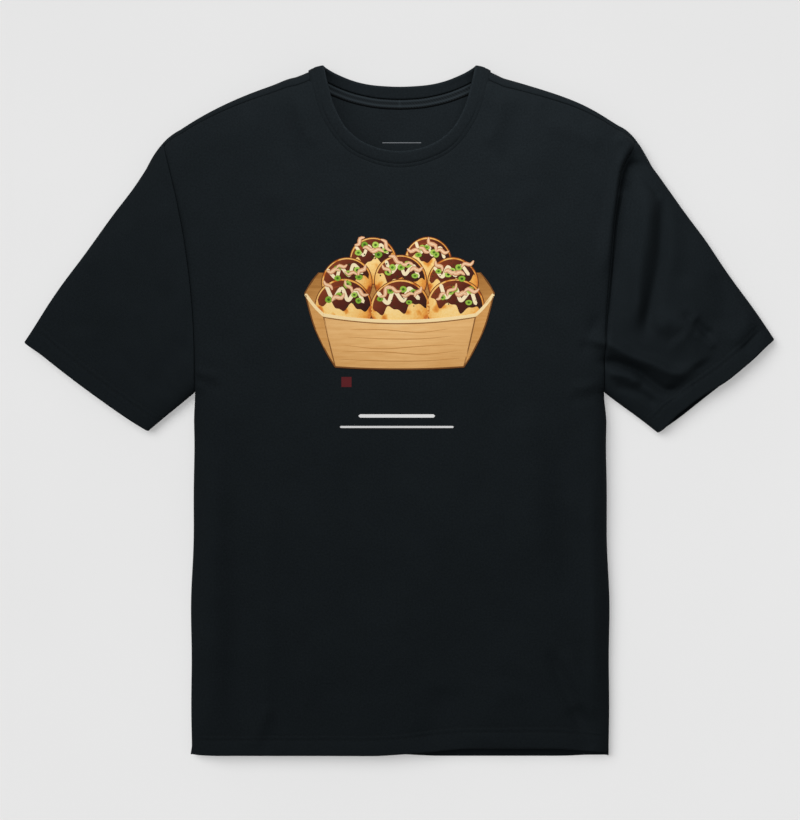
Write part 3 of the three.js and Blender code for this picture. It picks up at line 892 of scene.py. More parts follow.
def make_rib_knit(colours):
    """The same yarn knitted as a 1x1 rib. Its wales are modelled, so this adds the yarn's grain and nap, and
    a painted highlight along its folded edge.
    """
    material, tree, shader = new_material("dyed_cotton_rib")
    at = add_node(tree, "ShaderNodeTexCoord").outputs["Object"]
    yarn = add_node(tree, "ShaderNodeTexNoise", {"Vector": at}, Scale=620, Detail=3, Roughness=0.7)
    # a painted highlight lightens the folded edge
    shade = add_node(tree, "ShaderNodeAttribute", attribute_name="shade")
    both = {0: shade.outputs["Fac"], 2: yarn.outputs["Fac"]}
    tone = add_node(tree, "ShaderNodeMath", both, operation="MULTIPLY_ADD")
    tone.inputs[1].default_value = 0.28
    dark, pale, painted_highlight = (colour_times(colours.jersey, gain) for gain in (0.78, 1.14, 2.3))
    colour_by(tree, shader, tone.outputs[0], ((0.34, dark), (0.66, pale), (1.0, painted_highlight)))
    height = {"Height": yarn.outputs["Fac"]}
    bump = add_node(tree, "ShaderNodeBump", height, Strength=0.4, Distance=0.25 * MM)
    tree.links.new(bump.outputs["Normal"], shader.inputs["Normal"])
    set_shader(shader, **COTTON)
    return material


def make_tape(colours):
    """Woven cotton twill tape. Its fine slanting ribs catch a little more light than the jersey."""
    material, tree, shader = new_material("woven_cotton_tape")
    # real ribs are 0.6 mm apart; these are 1.5 mm, so that they show
    twill = add_node(
        tree,
        "ShaderNodeTexWave",
        {"Vector": cloth_map(tree, (9.4, 9.4))},
        bands_direction="DIAGONAL",
        Scale=2.0,
        Distortion=0.4,
    )
    # its middle is plain, beside it run two bands of painted highlight, and its outer edges are darkened
    # nearly black with painted shadow
    shade = add_node(tree, "ShaderNodeAttribute", attribute_name="shade")
    both = {0: twill.outputs["Fac"], 2: shade.outputs["Fac"]}
    tone = add_node(tree, "ShaderNodeMath", both, operation="MULTIPLY_ADD")
    tone.inputs[1].default_value = 0.2
    stops = [(place, colour_times(colours.jersey, gain)) for place, gain in ((0.2, 0.15), (0.4, 1.0), (1.0, 2.3))]
    colour_by(tree, shader, tone.outputs[0], stops)
    height = {"Height": twill.outputs["Fac"]}
    bump = add_node(tree, "ShaderNodeBump", height, Strength=0.4, Distance=0.15 * MM)
    tree.links.new(bump.outputs["Normal"], shader.inputs["Normal"])
    set_shader(shader, Roughness=0.8, IOR=1.45, Specular_IOR_Level=0.08)
    return material


def make_thread(colours):
    """Spun polyester sewing thread, twisted. It is a little smoother and glossier than the cotton."""
    material, tree, shader = new_material("spun_polyester_thread")
    at = add_node(tree, "ShaderNodeTexCoord").outputs["Object"]
    twist = add_node(tree, "ShaderNodeTexNoise", {"Vector": at}, Scale=1800, Detail=2)
    stops = ((0.3, colour_times(colours.thread, 0.75)), (0.7, colour_times(colours.thread, 1.25)))
    colour_by(tree, shader, twist.outputs["Fac"], stops)
    set_shader(shader, Roughness=0.65, IOR=1.5, Specular_IOR_Level=0.12)
    return material


def make_ink(name, codes, grain_mm=3.0, grain=0.3, stretch=1.0):
    """Water-based ink printed on jersey. It is matt and a little mottled, and the knit's grain shows through.
    The colour runs through the codes by each place's shade, with grain over it."""
    material, tree, shader = new_material(name)
    at = cloth_map(tree, (grain_mm * stretch, grain_mm))
    mottle = add_node(tree, "ShaderNodeTexNoise", {"Vector": at}, Scale=1.0, Detail=4, Roughness=0.6)
    shade = add_node(tree, "ShaderNodeAttribute", attribute_name="shade")
    both = {0: mottle.outputs["Fac"], 2: shade.outputs["Fac"]}
    tone = add_node(tree, "ShaderNodeMath", both, operation="MULTIPLY_ADD")
    tone.inputs[1].default_value = 2 * grain
    stops = [(grain + i / (len(codes) - 1), hex_colour(code)) for i, code in enumerate(codes)]
    span = stops[-1][0] + grain
    scaled = add_node(tree, "ShaderNodeMath", {0: tone.outputs[0]}, operation="DIVIDE")
    scaled.inputs[1].default_value = span
    colour_by(tree, shader, scaled.outputs[0], [(place / span, colour) for place, colour in stops])
    knit = add_node(tree, "ShaderNodeTexNoise", {"Vector": cloth_map(tree)}, Scale=900, Detail=2)
    height = {"Height": knit.outputs["Fac"]}
    bump = add_node(tree, "ShaderNodeBump", height, Strength=0.25, Distance=0.2 * MM)
    tree.links.new(bump.outputs["Normal"], shader.inputs["Normal"])
    set_shader(shader, Roughness=0.7, IOR=1.45, Specular_IOR_Level=0.2)
    return material


def once(name, make, *args):
    """The material of this name, made if it isn't there yet."""
    return bpy.data.materials.get(name) or make(*args)


# ---- Properties ----


def measure(name, description, default):
    """A length among the properties."""
    return FloatProperty(name=name, description=description, default=default, unit="LENGTH")


def dye(name, description, code):
    """A colour among the properties."""
    start = hex_colour(code)[:3]
    return FloatVectorProperty(
        name=name, description=description, default=start, subtype="COLOR", size=3, min=0, max=1
    )


class ShirtSizes(bpy.types.PropertyGroup):
    """Sizes of the shirt, as it lies."""

    length: measure("Length", "From the top of the collar to the hem", round(CAD_BOX[1].y - CAD_BOX[0].y, 3))
    spread: measure("Spread", "From cuff to cuff", round(CAD_BOX[1].x - CAD_BOX[0].x, 3))
    hem_width: measure("Hem width", "Across the hem", 0.458)
    underarm_width: measure("Underarm width", "Between the underarms", 0.45)
    shoulder_width: measure("Shoulder width", "Between the tops of the armholes", 0.52)
    neck_width: measure("Neck width", "Between the collar seams at the shoulder", 0.196)
    cuff_width: measure("Cuff width", "Across a cuff", 0.166)
    cloth: measure("Cloth", "Thickness of the jersey", 0.0011)
    rib_pitch: measure("Rib pitch", "From one wale of the collar to the next", 0.0024)
    wale_radius: measure("Wale radius", "Half the thickness of a wale", 0.0006)
    stitch_pitch: measure("Stitch pitch", "From one stitch to the next", 0.0032)
    stitch_length: measure("Stitch length", "Of the thread that shows", 0.0025)
    thread_radius: measure("Thread radius", "Half the thickness of the thread", 0.0003)
    print_width: measure("Print width", "Across the printed boat", 0.206)


class ShirtColours(bpy.types.PropertyGroup):
    """Colours of the cloth and the thread."""

    jersey: dye("Jersey", "Colour of the cloth", "#181d20")
    thread: dye("Thread", "Colour of the sewing thread", "#14181a")


# ---- Outlines and helpers for the pieces ----


def finish_piece(obj, slot, *nodes):
    """Fastens a piece to the shirt and hides the solids that it stands for. Its slot is not used."""
    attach(obj, BODY)
    if nodes:
        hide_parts(*nodes)
    return obj


def evenly(points, step):
    """The same line with its points spread evenly, without its last point."""
    points = np.asarray(points, float)
    gaps = np.hypot(*np.diff(points, axis=0).T)
    length = np.concatenate([[0], np.cumsum(gaps)])
    count = max(2, int(round(length[-1] / step)))
    at = np.arange(count) / count * length[-1]
    return np.column_stack([np.interp(at, length, points[:, k]) for k in range(points.shape[1])])


def graph_line(xs, heights, step):
    return evenly(np.column_stack([xs, heights]), step)


def mirrored_back(line):
    """The same line on the other side, run the other way."""
    return (line * (-1, 1))[::-1]


def drop_doubles(outline, reach=0.4):
    """Takes out points that lie on the one before."""
    kept = [outline[0]]
    for p in outline[1:]:
        if np.hypot(*(p - kept[-1])) > reach:
            kept.append(p)
    while np.hypot(*(kept[-1] - kept[0])) <= reach:
        kept.pop()
    return np.array(kept)


def flat_size(points):
    """The cut's width and length in metres."""
    return tuple(float(v) for v in (points.max(0) - points.min(0)) * MM)


def surface_area(verts, faces):
    """Area in square metres of triangles in millimetres, flat or in space."""
    u, v = verts[faces[:, 1]] - verts[faces[:, 0]], verts[faces[:, 2]] - verts[faces[:, 0]]
    cross = np.cross(u, v)
    sizes = np.abs(cross) if cross.ndim == 1 else np.linalg.norm(cross, axis=1)
    return float(sizes.sum() / 2 * MM * MM)


def cloth_thickness(cut, verts, from_hem):
    """The cloth's thickness, doubled in a turned-up hem but not at its side seams."""
    inner = smooth((cut.side_x(verts[:, 1]) - np.abs(verts[:, 0])) / 8)
    return cut.cloth * (1 + (from_hem < HEM_DEPTH - 0.4) * inner)


class ShirtOperator:
    """What the operators of the shirt's pieces share."""

    bl_options = {"REGISTER", "UNDO"}

    def execute(self, context):
        self.make(Cut(context), context.scene.shirt_sizes, context.scene.shirt_colours)
        return {"FINISHED"}


# ---- Panels ----


class SHIRT_OT_front(ShirtOperator, bpy.types.Operator):
    """Cut the front panel and lay it over the chest"""

    bl_idname = "shirt.front"
    bl_label = "Front"

    def make(self, cut, sizes, colours):
        corner_y = cut.seam_corner_y()
        xs = np.linspace(-cut.hem_half, cut.hem_half, 240)
        hem = graph_line(xs, cut.hem_y(xs), RIM_STEP)
        ys = np.linspace(float(cut.hem_y(cut.hem_half)), cut.underarm[1], 120)
        side = graph_line(cut.side_x(ys), ys, RIM_STEP)
        ys = np.linspace(cut.underarm[1], corner_y, 90)
        arm = graph_line(cut.armhole_x(ys) - SEAM_GAP, ys, RIM_STEP)
        neck_x = cut.seam_neck_x()
        xs = np.linspace(cut.armhole_x(corner_y) - SEAM_GAP, neck_x, 90)
        shoulder = graph_line(xs, cut.shoulder_seam_y(xs) - SEAM_GAP, RIM_STEP)
        xs = neck_x * np.cos(np.linspace(0, math.pi, 81))
        neckline = graph_line(xs, cut.front_seam_y(xs), 2.5)
        right = np.vstack([side, arm, shoulder])
        outline = drop_doubles(np.vstack([hem, right, neckline, mirrored_back(right)[:-1]]))
        xs = np.arange(2 - cut.hem_half, cut.hem_half - 1, 3.2)
        hem_rows = [(x, cut.hem_y(x) + up) for up in HEM_ROWS for x in xs]
        points, faces = fill(outline, 3.4, (0.7, 1.6, 3.0, 5.4), hem_rows)
        x, y = points.T
        verts = np.column_stack([points, cut.front_height(x, y)])
        thickness = cloth_thickness(cut, verts, y - cut.hem_y(x))
        jersey = once("dyed_cotton_jersey", make_jersey, colours)
        front = shell("front_panel", cut.settled(verts), faces, points, thickness, jersey)
        finish_piece(front, "jersey", "body_front")
        area = surface_area(points, faces)
        flat_size(points)


class SHIRT_OT_back(ShirtOperator, bpy.types.Operator):
    """Cut the back panel, which lies underneath and laps over the shoulders"""

    bl_idname = "shirt.back"
    bl_label = "Back"

    def make(self, cut, sizes, colours):
        hem = graph_line((-cut.hem_half, cut.hem_half), (cut.hem, cut.hem), RIM_STEP)
        ys = np.linspace(cut.hem, cut.underarm[1], 120)
        side = graph_line(cut.side_x(ys), ys, RIM_STEP)
        ys = np.linspace(cut.underarm[1], cut.shoulder[1], 90)
        arm = graph_line(cut.armhole_x(ys) - SEAM_GAP, ys, RIM_STEP)
        fold_x = np.linspace(cut.shoulder[0] - SEAM_GAP, cut.neck[0], 70)
        fold = np.column_stack([fold_x, cut.upper_edge(fold_x)])
        xs = cut.neck[0] * np.cos(np.linspace(0, math.pi, 81))[1:-1]
        neckline = np.column_stack([xs, cut.back_seam_y(xs)])
        right = np.vstack([side, arm, fold])
        outline = drop_doubles(np.vstack([hem, right, neckline, mirrored_back(right)[:-1]]))
        xs = np.arange(2 - cut.hem_half, cut.hem_half - 1, 4.0)
        hem_rows = [(x, cut.hem + up) for up in HEM_ROWS for x in xs]
        points, faces = fill(outline, 5.2, (0.5, 1.6, 3.2, 6.0, 10.0), hem_rows)
        height = np.minimum(cut.torso_bottom(*points.T), cut.fold - SEAM_GAP)
        verts, maps, parts = [np.column_stack([points, height])], [points], [faces[:, ::-1]]
        # the laps on the top layer, from the shoulder folds to the shoulder seams
        share = np.array([0, 0.04, 0.14, 0.3, 0.5, 0.72, 0.9, 1.0])
        fold_y = cut.upper_edge(fold_x)[:, None]
        lap = (fold_y - cut.shoulder_seam_y(fold_x)[:, None] - SEAM_GAP) * share
        plan_x = np.repeat(fold_x[:, None], len(share), 1)
        height = cut.torso_top(plan_x, fold_y - lap)
        height = height + edge_dip(lap[:, -1:] - lap, 2.1, 1.5) * smooth(share * 4)
        height[:, 0] = cut.fold - SEAM_GAP
        for side in (1, -1):
            start = sum(len(v) for v in verts)
            verts.append(np.stack([side * plan_x, fold_y - lap, height], 2).reshape(-1, 3))
            maps.append(np.stack([side * plan_x, fold_y + lap], 2).reshape(-1, 2))
            parts.append(grid_faces(*plan_x.shape, start, flip=side > 0))
        verts, faces, maps = weld(np.vstack(verts), np.vstack(parts), np.vstack(maps))
        thickness = cloth_thickness(cut, verts, verts[:, 1] - cut.hem)
        jersey = once("dyed_cotton_jersey", make_jersey, colours)
        back = shell("back_panel", cut.settled(verts), faces, maps, thickness, jersey)
        finish_piece(back, "jersey", "body_back")
        area = surface_area(maps, faces)
        flat_size(maps)


class SHIRT_OT_sleeves(ShirtOperator, bpy.types.Operator):
    """Cut the sleeves and set them in the armholes"""

    bl_idname = "shirt.sleeves"
    bl_label = "Sleeves"

    def make(self, cut, sizes, colours):
        jersey = once("dyed_cotton_jersey", make_jersey, colours)
        for side, name in ((1, "sleeve_right"), (-1, "sleeve_left")):
            up, down = cut.across(96), cut.across(48)[::-1]
            rows, maps = [], []
            for share in cut.sleeve_rows():
                x, y = cut.sleeve_plan(side, up, share, top=True)
                top = np.column_stack([x, y, cut.sleeve_height(side, up, share)])
                x, y = cut.sleeve_plan(side, down, share)
                bottom = np.column_stack([x, y, cut.sleeve_bottom(x, y)])
                rows.append(np.vstack([top, bottom[1:-1]]))
                wide = mix(cut.armhole_length, cut.cuff_width, share[1])
                around = np.concatenate([up, 2 - down[1:-1]]) * wide
                maps.append(np.column_stack([around, np.full(len(around), -share[1] * cut.sleeve_length)]))
            ring = len(rows[0])
            verts, maps = np.vstack(rows), np.vstack(maps)
            faces = grid_faces(len(rows), ring, flip=side > 0, wrap_columns=True)
            from_cuff = np.repeat([(1 - s[1]) * cut.sleeve_length for s in cut.sleeve_rows()], ring)
            thickness = cut.cloth * (1 + (from_cuff < HEM_DEPTH - 0.4))
            sleeve = shell(name + "_cloth", cut.settled(verts), faces, maps, thickness, jersey)
            finish_piece(sleeve, "jersey", name)
            width = np.linalg.norm(np.roll(rows[0], -1, 0) - rows[0], axis=1).sum()
            surface_area(verts, faces)


# ---- Collar ----


class Collar:
    """The folded rib on the neck seam. turn runs once round the neck, from the back middle over the viewer's
    right shoulder to the front middle at a half."""

    heights = (3.4, 3.8, 8.5, 24, 29, 28.5)  # of its free edge, from the back middle to the front middle
    half = 1.1  # half the thickness of the folded rib
    crest = 14  # which point of a section is at the top of its fold

    def __init__(self, cut):
        self.cut = cut
        self.height_line = rounded_path([(i / 5 * 0.5, h) for i, h in enumerate(self.heights)], 0.01)

    def seam(self, turn):
        cut, angle = self.cut, np.asarray(turn) * 2 * math.pi
        x = cut.neck[0] * np.sin(angle)
        back = np.cos(angle) > 0
        y = np.where(back, cut.back_seam_y(x), cut.front_seam_y(x))
        rest = np.where(back, cut.torso_bottom(x, y), cut.torso_top(x, y))
        # it is sewn under the top of the front panel, and over the back panel
        return np.stack([x, y, rest + mix(-2.6, 1.9, smooth((np.cos(angle) + 0.25) / 0.5))], -1)

    def edge(self, turn):
        cut, angle = self.cut, np.asarray(turn) * 2 * math.pi
        x = cut.edge_half * np.sin(angle)
        y = np.where(np.cos(angle) > 0, cut.back_edge_y(x), cut.front_edge_y(x))
        wrapped = np.abs((np.asarray(turn) + 0.5) % 1 - 0.5)
        return np.stack([x, y, np.interp(wrapped, *self.height_line.T)], -1)

    def frame(self, turn):
        """Seam place, direction to the free edge, direction into the neck, and width."""
        low, high = self.seam(turn), self.edge(turn)
        rise = high - low
        width = np.linalg.norm(rise, axis=-1, keepdims=True)
        rise = rise / width
        forward = self.seam(np.asarray(turn) + 2e-3) - self.seam(np.asarray(turn) - 2e-3)
        into = np.cross(forward, rise)
        return low, rise, into / np.linalg.norm(into, axis=-1, keepdims=True), width

    def outer(self, turn, up, raised=0.0):
        """A place on the outer face, at a distance up from the seam."""
        low, rise, into, width = self.frame(turn)
        share = np.clip(up / (width - self.half), 0, 1)
        # its seams are drawn in less at the back
        drawn = mix(0.4, 1, smooth((0.1 - np.cos(np.asarray(turn) * 2 * math.pi)) / 0.9))[..., None]
        seams = groove(up - SEAM_TURN, 0.8, 0.8) + groove(up, 0.9, 1.3)
        crown = 0.7 * np.sin(math.pi * share) + drawn * seams
        return low + rise * up - into * (self.half + crown + raised)

    def section(self, turn, raised=0.0):
        """The line round one section, from the seam over the free edge and down the inner face."""
        low, rise, into, width = self.frame(turn)
        reach = width - self.half
        points = [self.outer(turn, reach * t, raised) for t in np.linspace(0, 1, 12)[:-1]]
        for angle in np.linspace(0, math.pi, 8):
            swing = rise * math.sin(angle) - into * math.cos(angle)
            points.append(low + rise * reach + swing * (self.half + raised))
        points += [low + rise * reach * t + into * (self.half + raised) for t in np.linspace(1, 0, 9)[1:]]
        return np.stack(points, -2)

    def painted_fold_highlight(self, rings):
        """The painted highlight on the free edge: 1 along its fold, falling to 0 beside it."""
        steps = np.linalg.norm(np.diff(rings, axis=1), axis=2)
        along = np.concatenate([np.zeros((len(rings), 1)), np.cumsum(steps, axis=1)], axis=1)
        return bell(along - along[:, self.crest, None], 1.5)

    def turns(self, count):
        """Turns spread evenly along the collar."""
        fine = np.linspace(0, 1, 721)
        middle = (self.seam(fine) + self.edge(fine)) / 2
        length = np.concatenate([[0], np.cumsum(np.linalg.norm(np.diff(middle, axis=0), axis=1))])
        return np.interp(np.arange(count) / count * length[-1], length, fine), length[-1]


class SHIRT_OT_collar(ShirtOperator, bpy.types.Operator):
    """Fold the ribbed collar and set it on the neck seam"""

    bl_idname = "shirt.collar"
    bl_label = "Collar"

    def make(self, cut, sizes, colours):
        collar = Collar(cut)
        turns, length = collar.turns(360)
        rings = collar.section(turns)
        _, rise, _, width = collar.frame(turns)
        tuck = SEAM_TUCK * (np.cos(turns * 2 * math.pi) < 0.2)[:, None]
        for k in (0, -1):
            rings[:, k] -= rise * tuck
        count, around = rings.shape[:2]
        verts = rings.reshape(-1, 3)
        faces = grid_faces(count, around, flip=True, wrap_rows=True)
        span = np.linspace(0, 2 * float(width.mean()), around)
        maps = np.stack(np.meshgrid(np.arange(count) / count * length, span, indexing="ij"), 2).reshape(-1, 2)
        knit = once("dyed_cotton_rib", make_rib_knit, colours)
        # shade is a painted highlight along the free edge's fold
        shade = collar.painted_fold_highlight(rings)
        ring = shell("collar_rib", verts, faces, maps, 0.95, knit, shade=shade.ravel())
        finish_piece(ring, "rib_knit", "neck_rib")
        wales = round(length / (sizes.rib_pitch / MM))
        turns, length = collar.turns(wales)
        sunk = 0.25 - sizes.wale_radius / MM
        lines = collar.section(turns, sunk)
        # the wales carry the same painted highlight
        shade = collar.painted_fold_highlight(lines)[:, 1:-1]
        tree, identifiers = wale_tree(knit)
        paths = path_object("collar_wales", lines[:, 1:-1], shade)
        grown(paths, tree, identifiers, Wale_radius=sizes.wale_radius)
        paths.data.shade_smooth()
        finish_piece(paths, "rib_knit")


class SHIRT_OT_label(ShirtOperator, bpy.types.Operator):
    """Print the plain line of the neck label inside the back"""

    bl_idname = "shirt.label"
    bl_label = "Neck label line"

    def make(self, cut, sizes, colours):
        line = ribbon([(-18.7, 295.4), (2.5, 295.4), (23.7, 295.4)], 0.8, step=3)
        points, faces = fill(line, 3)
        verts = np.column_stack([points, cut.torso_bottom(*points.T) + cut.cloth + 0.16])
        shade = np.full(len(points), 0.5)
        ink = make_ink("printed_label_ink", ("#63676b", "#787c80"), 3, 0.2)
        line = shell("neck_label_line", verts, faces, points, 0.14, ink, nose=0.2, shade=shade)
        finish_piece(line, "jersey")


def tape_places(cut, x, share):
    """Places on the neck tape, from its lower edge at 0 to its upper one at 1, and its map laid out flat."""
    slope = (cut.back_seam_y(np.abs(x) + 1) - cut.back_seam_y(np.abs(x) - 1)) / 2
    below = 0.7 + TAPE_SPREAD * TAPE_WIDTH * (1 - share) * np.hypot(1, slope)[:, None]
    plan_x = np.broadcast_to(x[:, None], below.shape)
    y = cut.back_seam_y(plan_x) - below
    arched = 0.75 * np.sin(math.pi * share) ** 0.35 - 0.35 * bell(share - 0.5, 0.12)
    z = cut.torso_bottom(plan_x, y) + cut.cloth + 0.5 + arched
    maps = np.stack([plan_x, TAPE_WIDTH * np.broadcast_to(share, y.shape)], 2)
    return np.stack([plan_x, y, z], 2).reshape(-1, 3), maps.reshape(-1, 2)


class SHIRT_OT_neck_tape(ShirtOperator, bpy.types.Operator):
    """Sew the tape over the back neck seam"""

    bl_idname = "shirt.neck_tape"
    bl_label = "Neck tape"

    def make(self, cut, sizes, colours):
        u, v = np.linspace(-1, 1, 141), np.linspace(0, 1, 25)
        verts, maps = tape_places(cut, u * cut.edge_half, v)
        faces = grid_faces(len(u), len(v), flip=True)
        # shade: painted highlight in two bands along the tape, painted shadow darkening both long edges, and
        # a narrow lighter strip across its middle
        bands = bell(v - 0.31, 0.09) + bell(v - 0.82, 0.09)
        painted_edge_shadow = smooth((v - 0.08) / 0.1) * smooth((0.99 - v) / 0.08)
        centre = 0.3 * bell(u * cut.edge_half, 0.9)
        shade = (0.3 + 0.5 * bands + centre[:, None]) * painted_edge_shadow
        weave = once("woven_cotton_tape", make_tape, colours)
        tape = shell("neck_tape_strip", verts, faces, maps, 0.5, weave, shade=shade.ravel())
        finish_piece(tape, "neck_tape", "neck_tape")
        length = np.hypot(*np.diff(verts[:: len(v), :2], axis=0).T).sum()


# ---- Stitches ----


class SHIRT_OT_stitches(ShirtOperator, bpy.types.Operator):
    """Sew the hems, the cuffs, the collar and the neck tape"""

    bl_idname = "shirt.stitches"
    bl_label = "Stitches"

    def make(self, cut, sizes, colours):
        self.tree = stitch_tree(once("spun_polyester_thread", make_thread, colours))
        self.sizes = sizes
        xs = np.linspace(3 - cut.hem_half, cut.hem_half - 3, 300)
        hem = []
        for up in HEM_STITCHES:
            y = cut.hem_y(xs) + up
            hem.append(np.column_stack([xs, y, cut.front_height(xs, y)]))
            y = np.full_like(xs, cut.hem + up)
            hem.append(np.column_stack([xs, y, cut.torso_bottom(xs, y) + 0.15]))
        self.sew("hem_stitches", "jersey", [cut.settled(line) for line in hem])
        across = np.linspace(0.015, 0.985, 120)
        for side, name in ((1, "sleeve_right"), (-1, "sleeve_left")):
            lines = []
            for distance in HEM_STITCHES:
                share = cut.cuff_share(distance)
                x, y = cut.sleeve_plan(side, across, share, top=True)
                lines.append(np.column_stack([x, y, cut.sleeve_height(side, across, share)]))
                x, y = cut.sleeve_plan(side, across, share)
                lines.append(np.column_stack([x, y, cut.sleeve_bottom(x, y) + 0.15]))
            self.sew(name + "_stitches", "jersey", [cut.settled(line) for line in lines])
        collar = Collar(cut)
        front = np.linspace(0.262, 0.738, 200)
        self.sew("collar_stitches", "rib_knit", [collar.outer(front, SEAM_TURN)])
        x = np.linspace(-cut.edge_half + 2, cut.edge_half - 2, 120)
        rows = [tape_places(cut, x, np.array([share]))[0] for share in (0.2, 0.9)]
        self.sew("tape_stitches", "neck_tape", rows)

    def sew(self, name, slot, lines):
        sizes = self.sizes
        row = grown(
            path_object(name, lines),
            *self.tree,
            Pitch=sizes.stitch_pitch,
            Stitch_length=sizes.stitch_length,
            Thread_radius=sizes.thread_radius,
        )
        finish_piece(row, slot)


# ---- The chest print: a plain boat of dumpling balls, two bars and a square ----

INK_BASE, INK_STEP = 0.16, 0.04  # height of the lowest ink above the cloth, and from one level to the next

# Each ball: its middle, its radius and how its toppings are turned
FAR_BALLS = ((-29, 163, 25, 0.1), (31, 163, 25, -0.2))
BACK_BALLS = ((-57, 139, 27, 0.2), (1, 141, 28, -0.15), (58, 139, 27, 0.1))
FRONT_BALLS = ((-61, 112, 31, -0.1), (1, 110, 32, 0.15), (61, 112, 31, -0.2))
BALL_ROWS = ((FAR_BALLS, 1), (BACK_BALLS, 5), (FRONT_BALLS, 9))  # in printing order, with the level of each
TOP_LEVEL = 13  # of the boat's front and of all that is strewn on the balls
BOAT_WIDTH = 206  # the print is drawn at this width and then scaled


def circle(cx, cy, radius, count=48, uneven=0.0, seed=0.0, squash=1.0):
    angle = np.linspace(0, 2 * math.pi, count, endpoint=False)
    reach = radius * (1 + uneven * (np.sin(3 * angle + seed) + 0.6 * np.sin(5 * angle + 2.3 * seed)))
    return np.column_stack([cx + reach * np.cos(angle), cy + squash * reach * np.sin(angle)])


def ribbon(points, width, taper=0.0, step=2.0):
    """The outline of a band along a line. taper is how far it narrows to its ends, from 0 to 1."""
    line = rounded_path(points, step)
    ahead = np.gradient(line, axis=0)
    aside = np.column_stack([-ahead[:, 1], ahead[:, 0]]) / np.linalg.norm(ahead, axis=1)[:, None]
    t = np.linspace(0, 1, len(line))
    half = width / 2 * (1 - taper + taper * np.sin(math.pi * t) ** 0.7)[:, None]
    tip = width * (1 - taper) / 2
    caps = []
    for end, inner in ((-1, -2), (0, 1)):
        heading = line[end] - line[inner]
        heading = heading / np.linalg.norm(heading)
        caps.append(line[end] + heading * max(tip, 0.15))
    return np.vstack([line - aside * half, caps[0], (line + aside * half)[::-1], caps[1]])


def turned(outline, cx, cy, angle):
    c, s = math.cos(angle), math.sin(angle)
    x, y = (np.asarray(outline) - (cx, cy)).T
    return np.column_stack([cx + x * c - y * s, cy + x * s + y * c])


def ball_shade(cx, cy, radius, seed):
    """Golden batter: light at the upper left, darker round the rim, with grilled patches."""

    def shade(x, y):
        away = np.hypot(x - cx, y - cy) / radius
        lit = 0.80 - 0.34 * away**2.6 + 0.12 * ((y - cy) - (x - cx)) / radius
        return lit - 0.42 * smooth((wander(x, y, 9, seed) - 0.22) / 0.5)

    return shade


def sauce_shade(cx, cy, radius):
    """Brown sauce, lighter towards the upper left."""
    return lambda x, y: 0.34 + 0.4 * (y - cy - x + cx) / radius


def on_ball(points, ball):
    """Places given in a ball's radii from its middle, turned as its toppings are."""
    cx, cy, radius, turn = ball
    return turned(np.asarray(points, float) * radius + (cx, cy), cx, cy, turn)


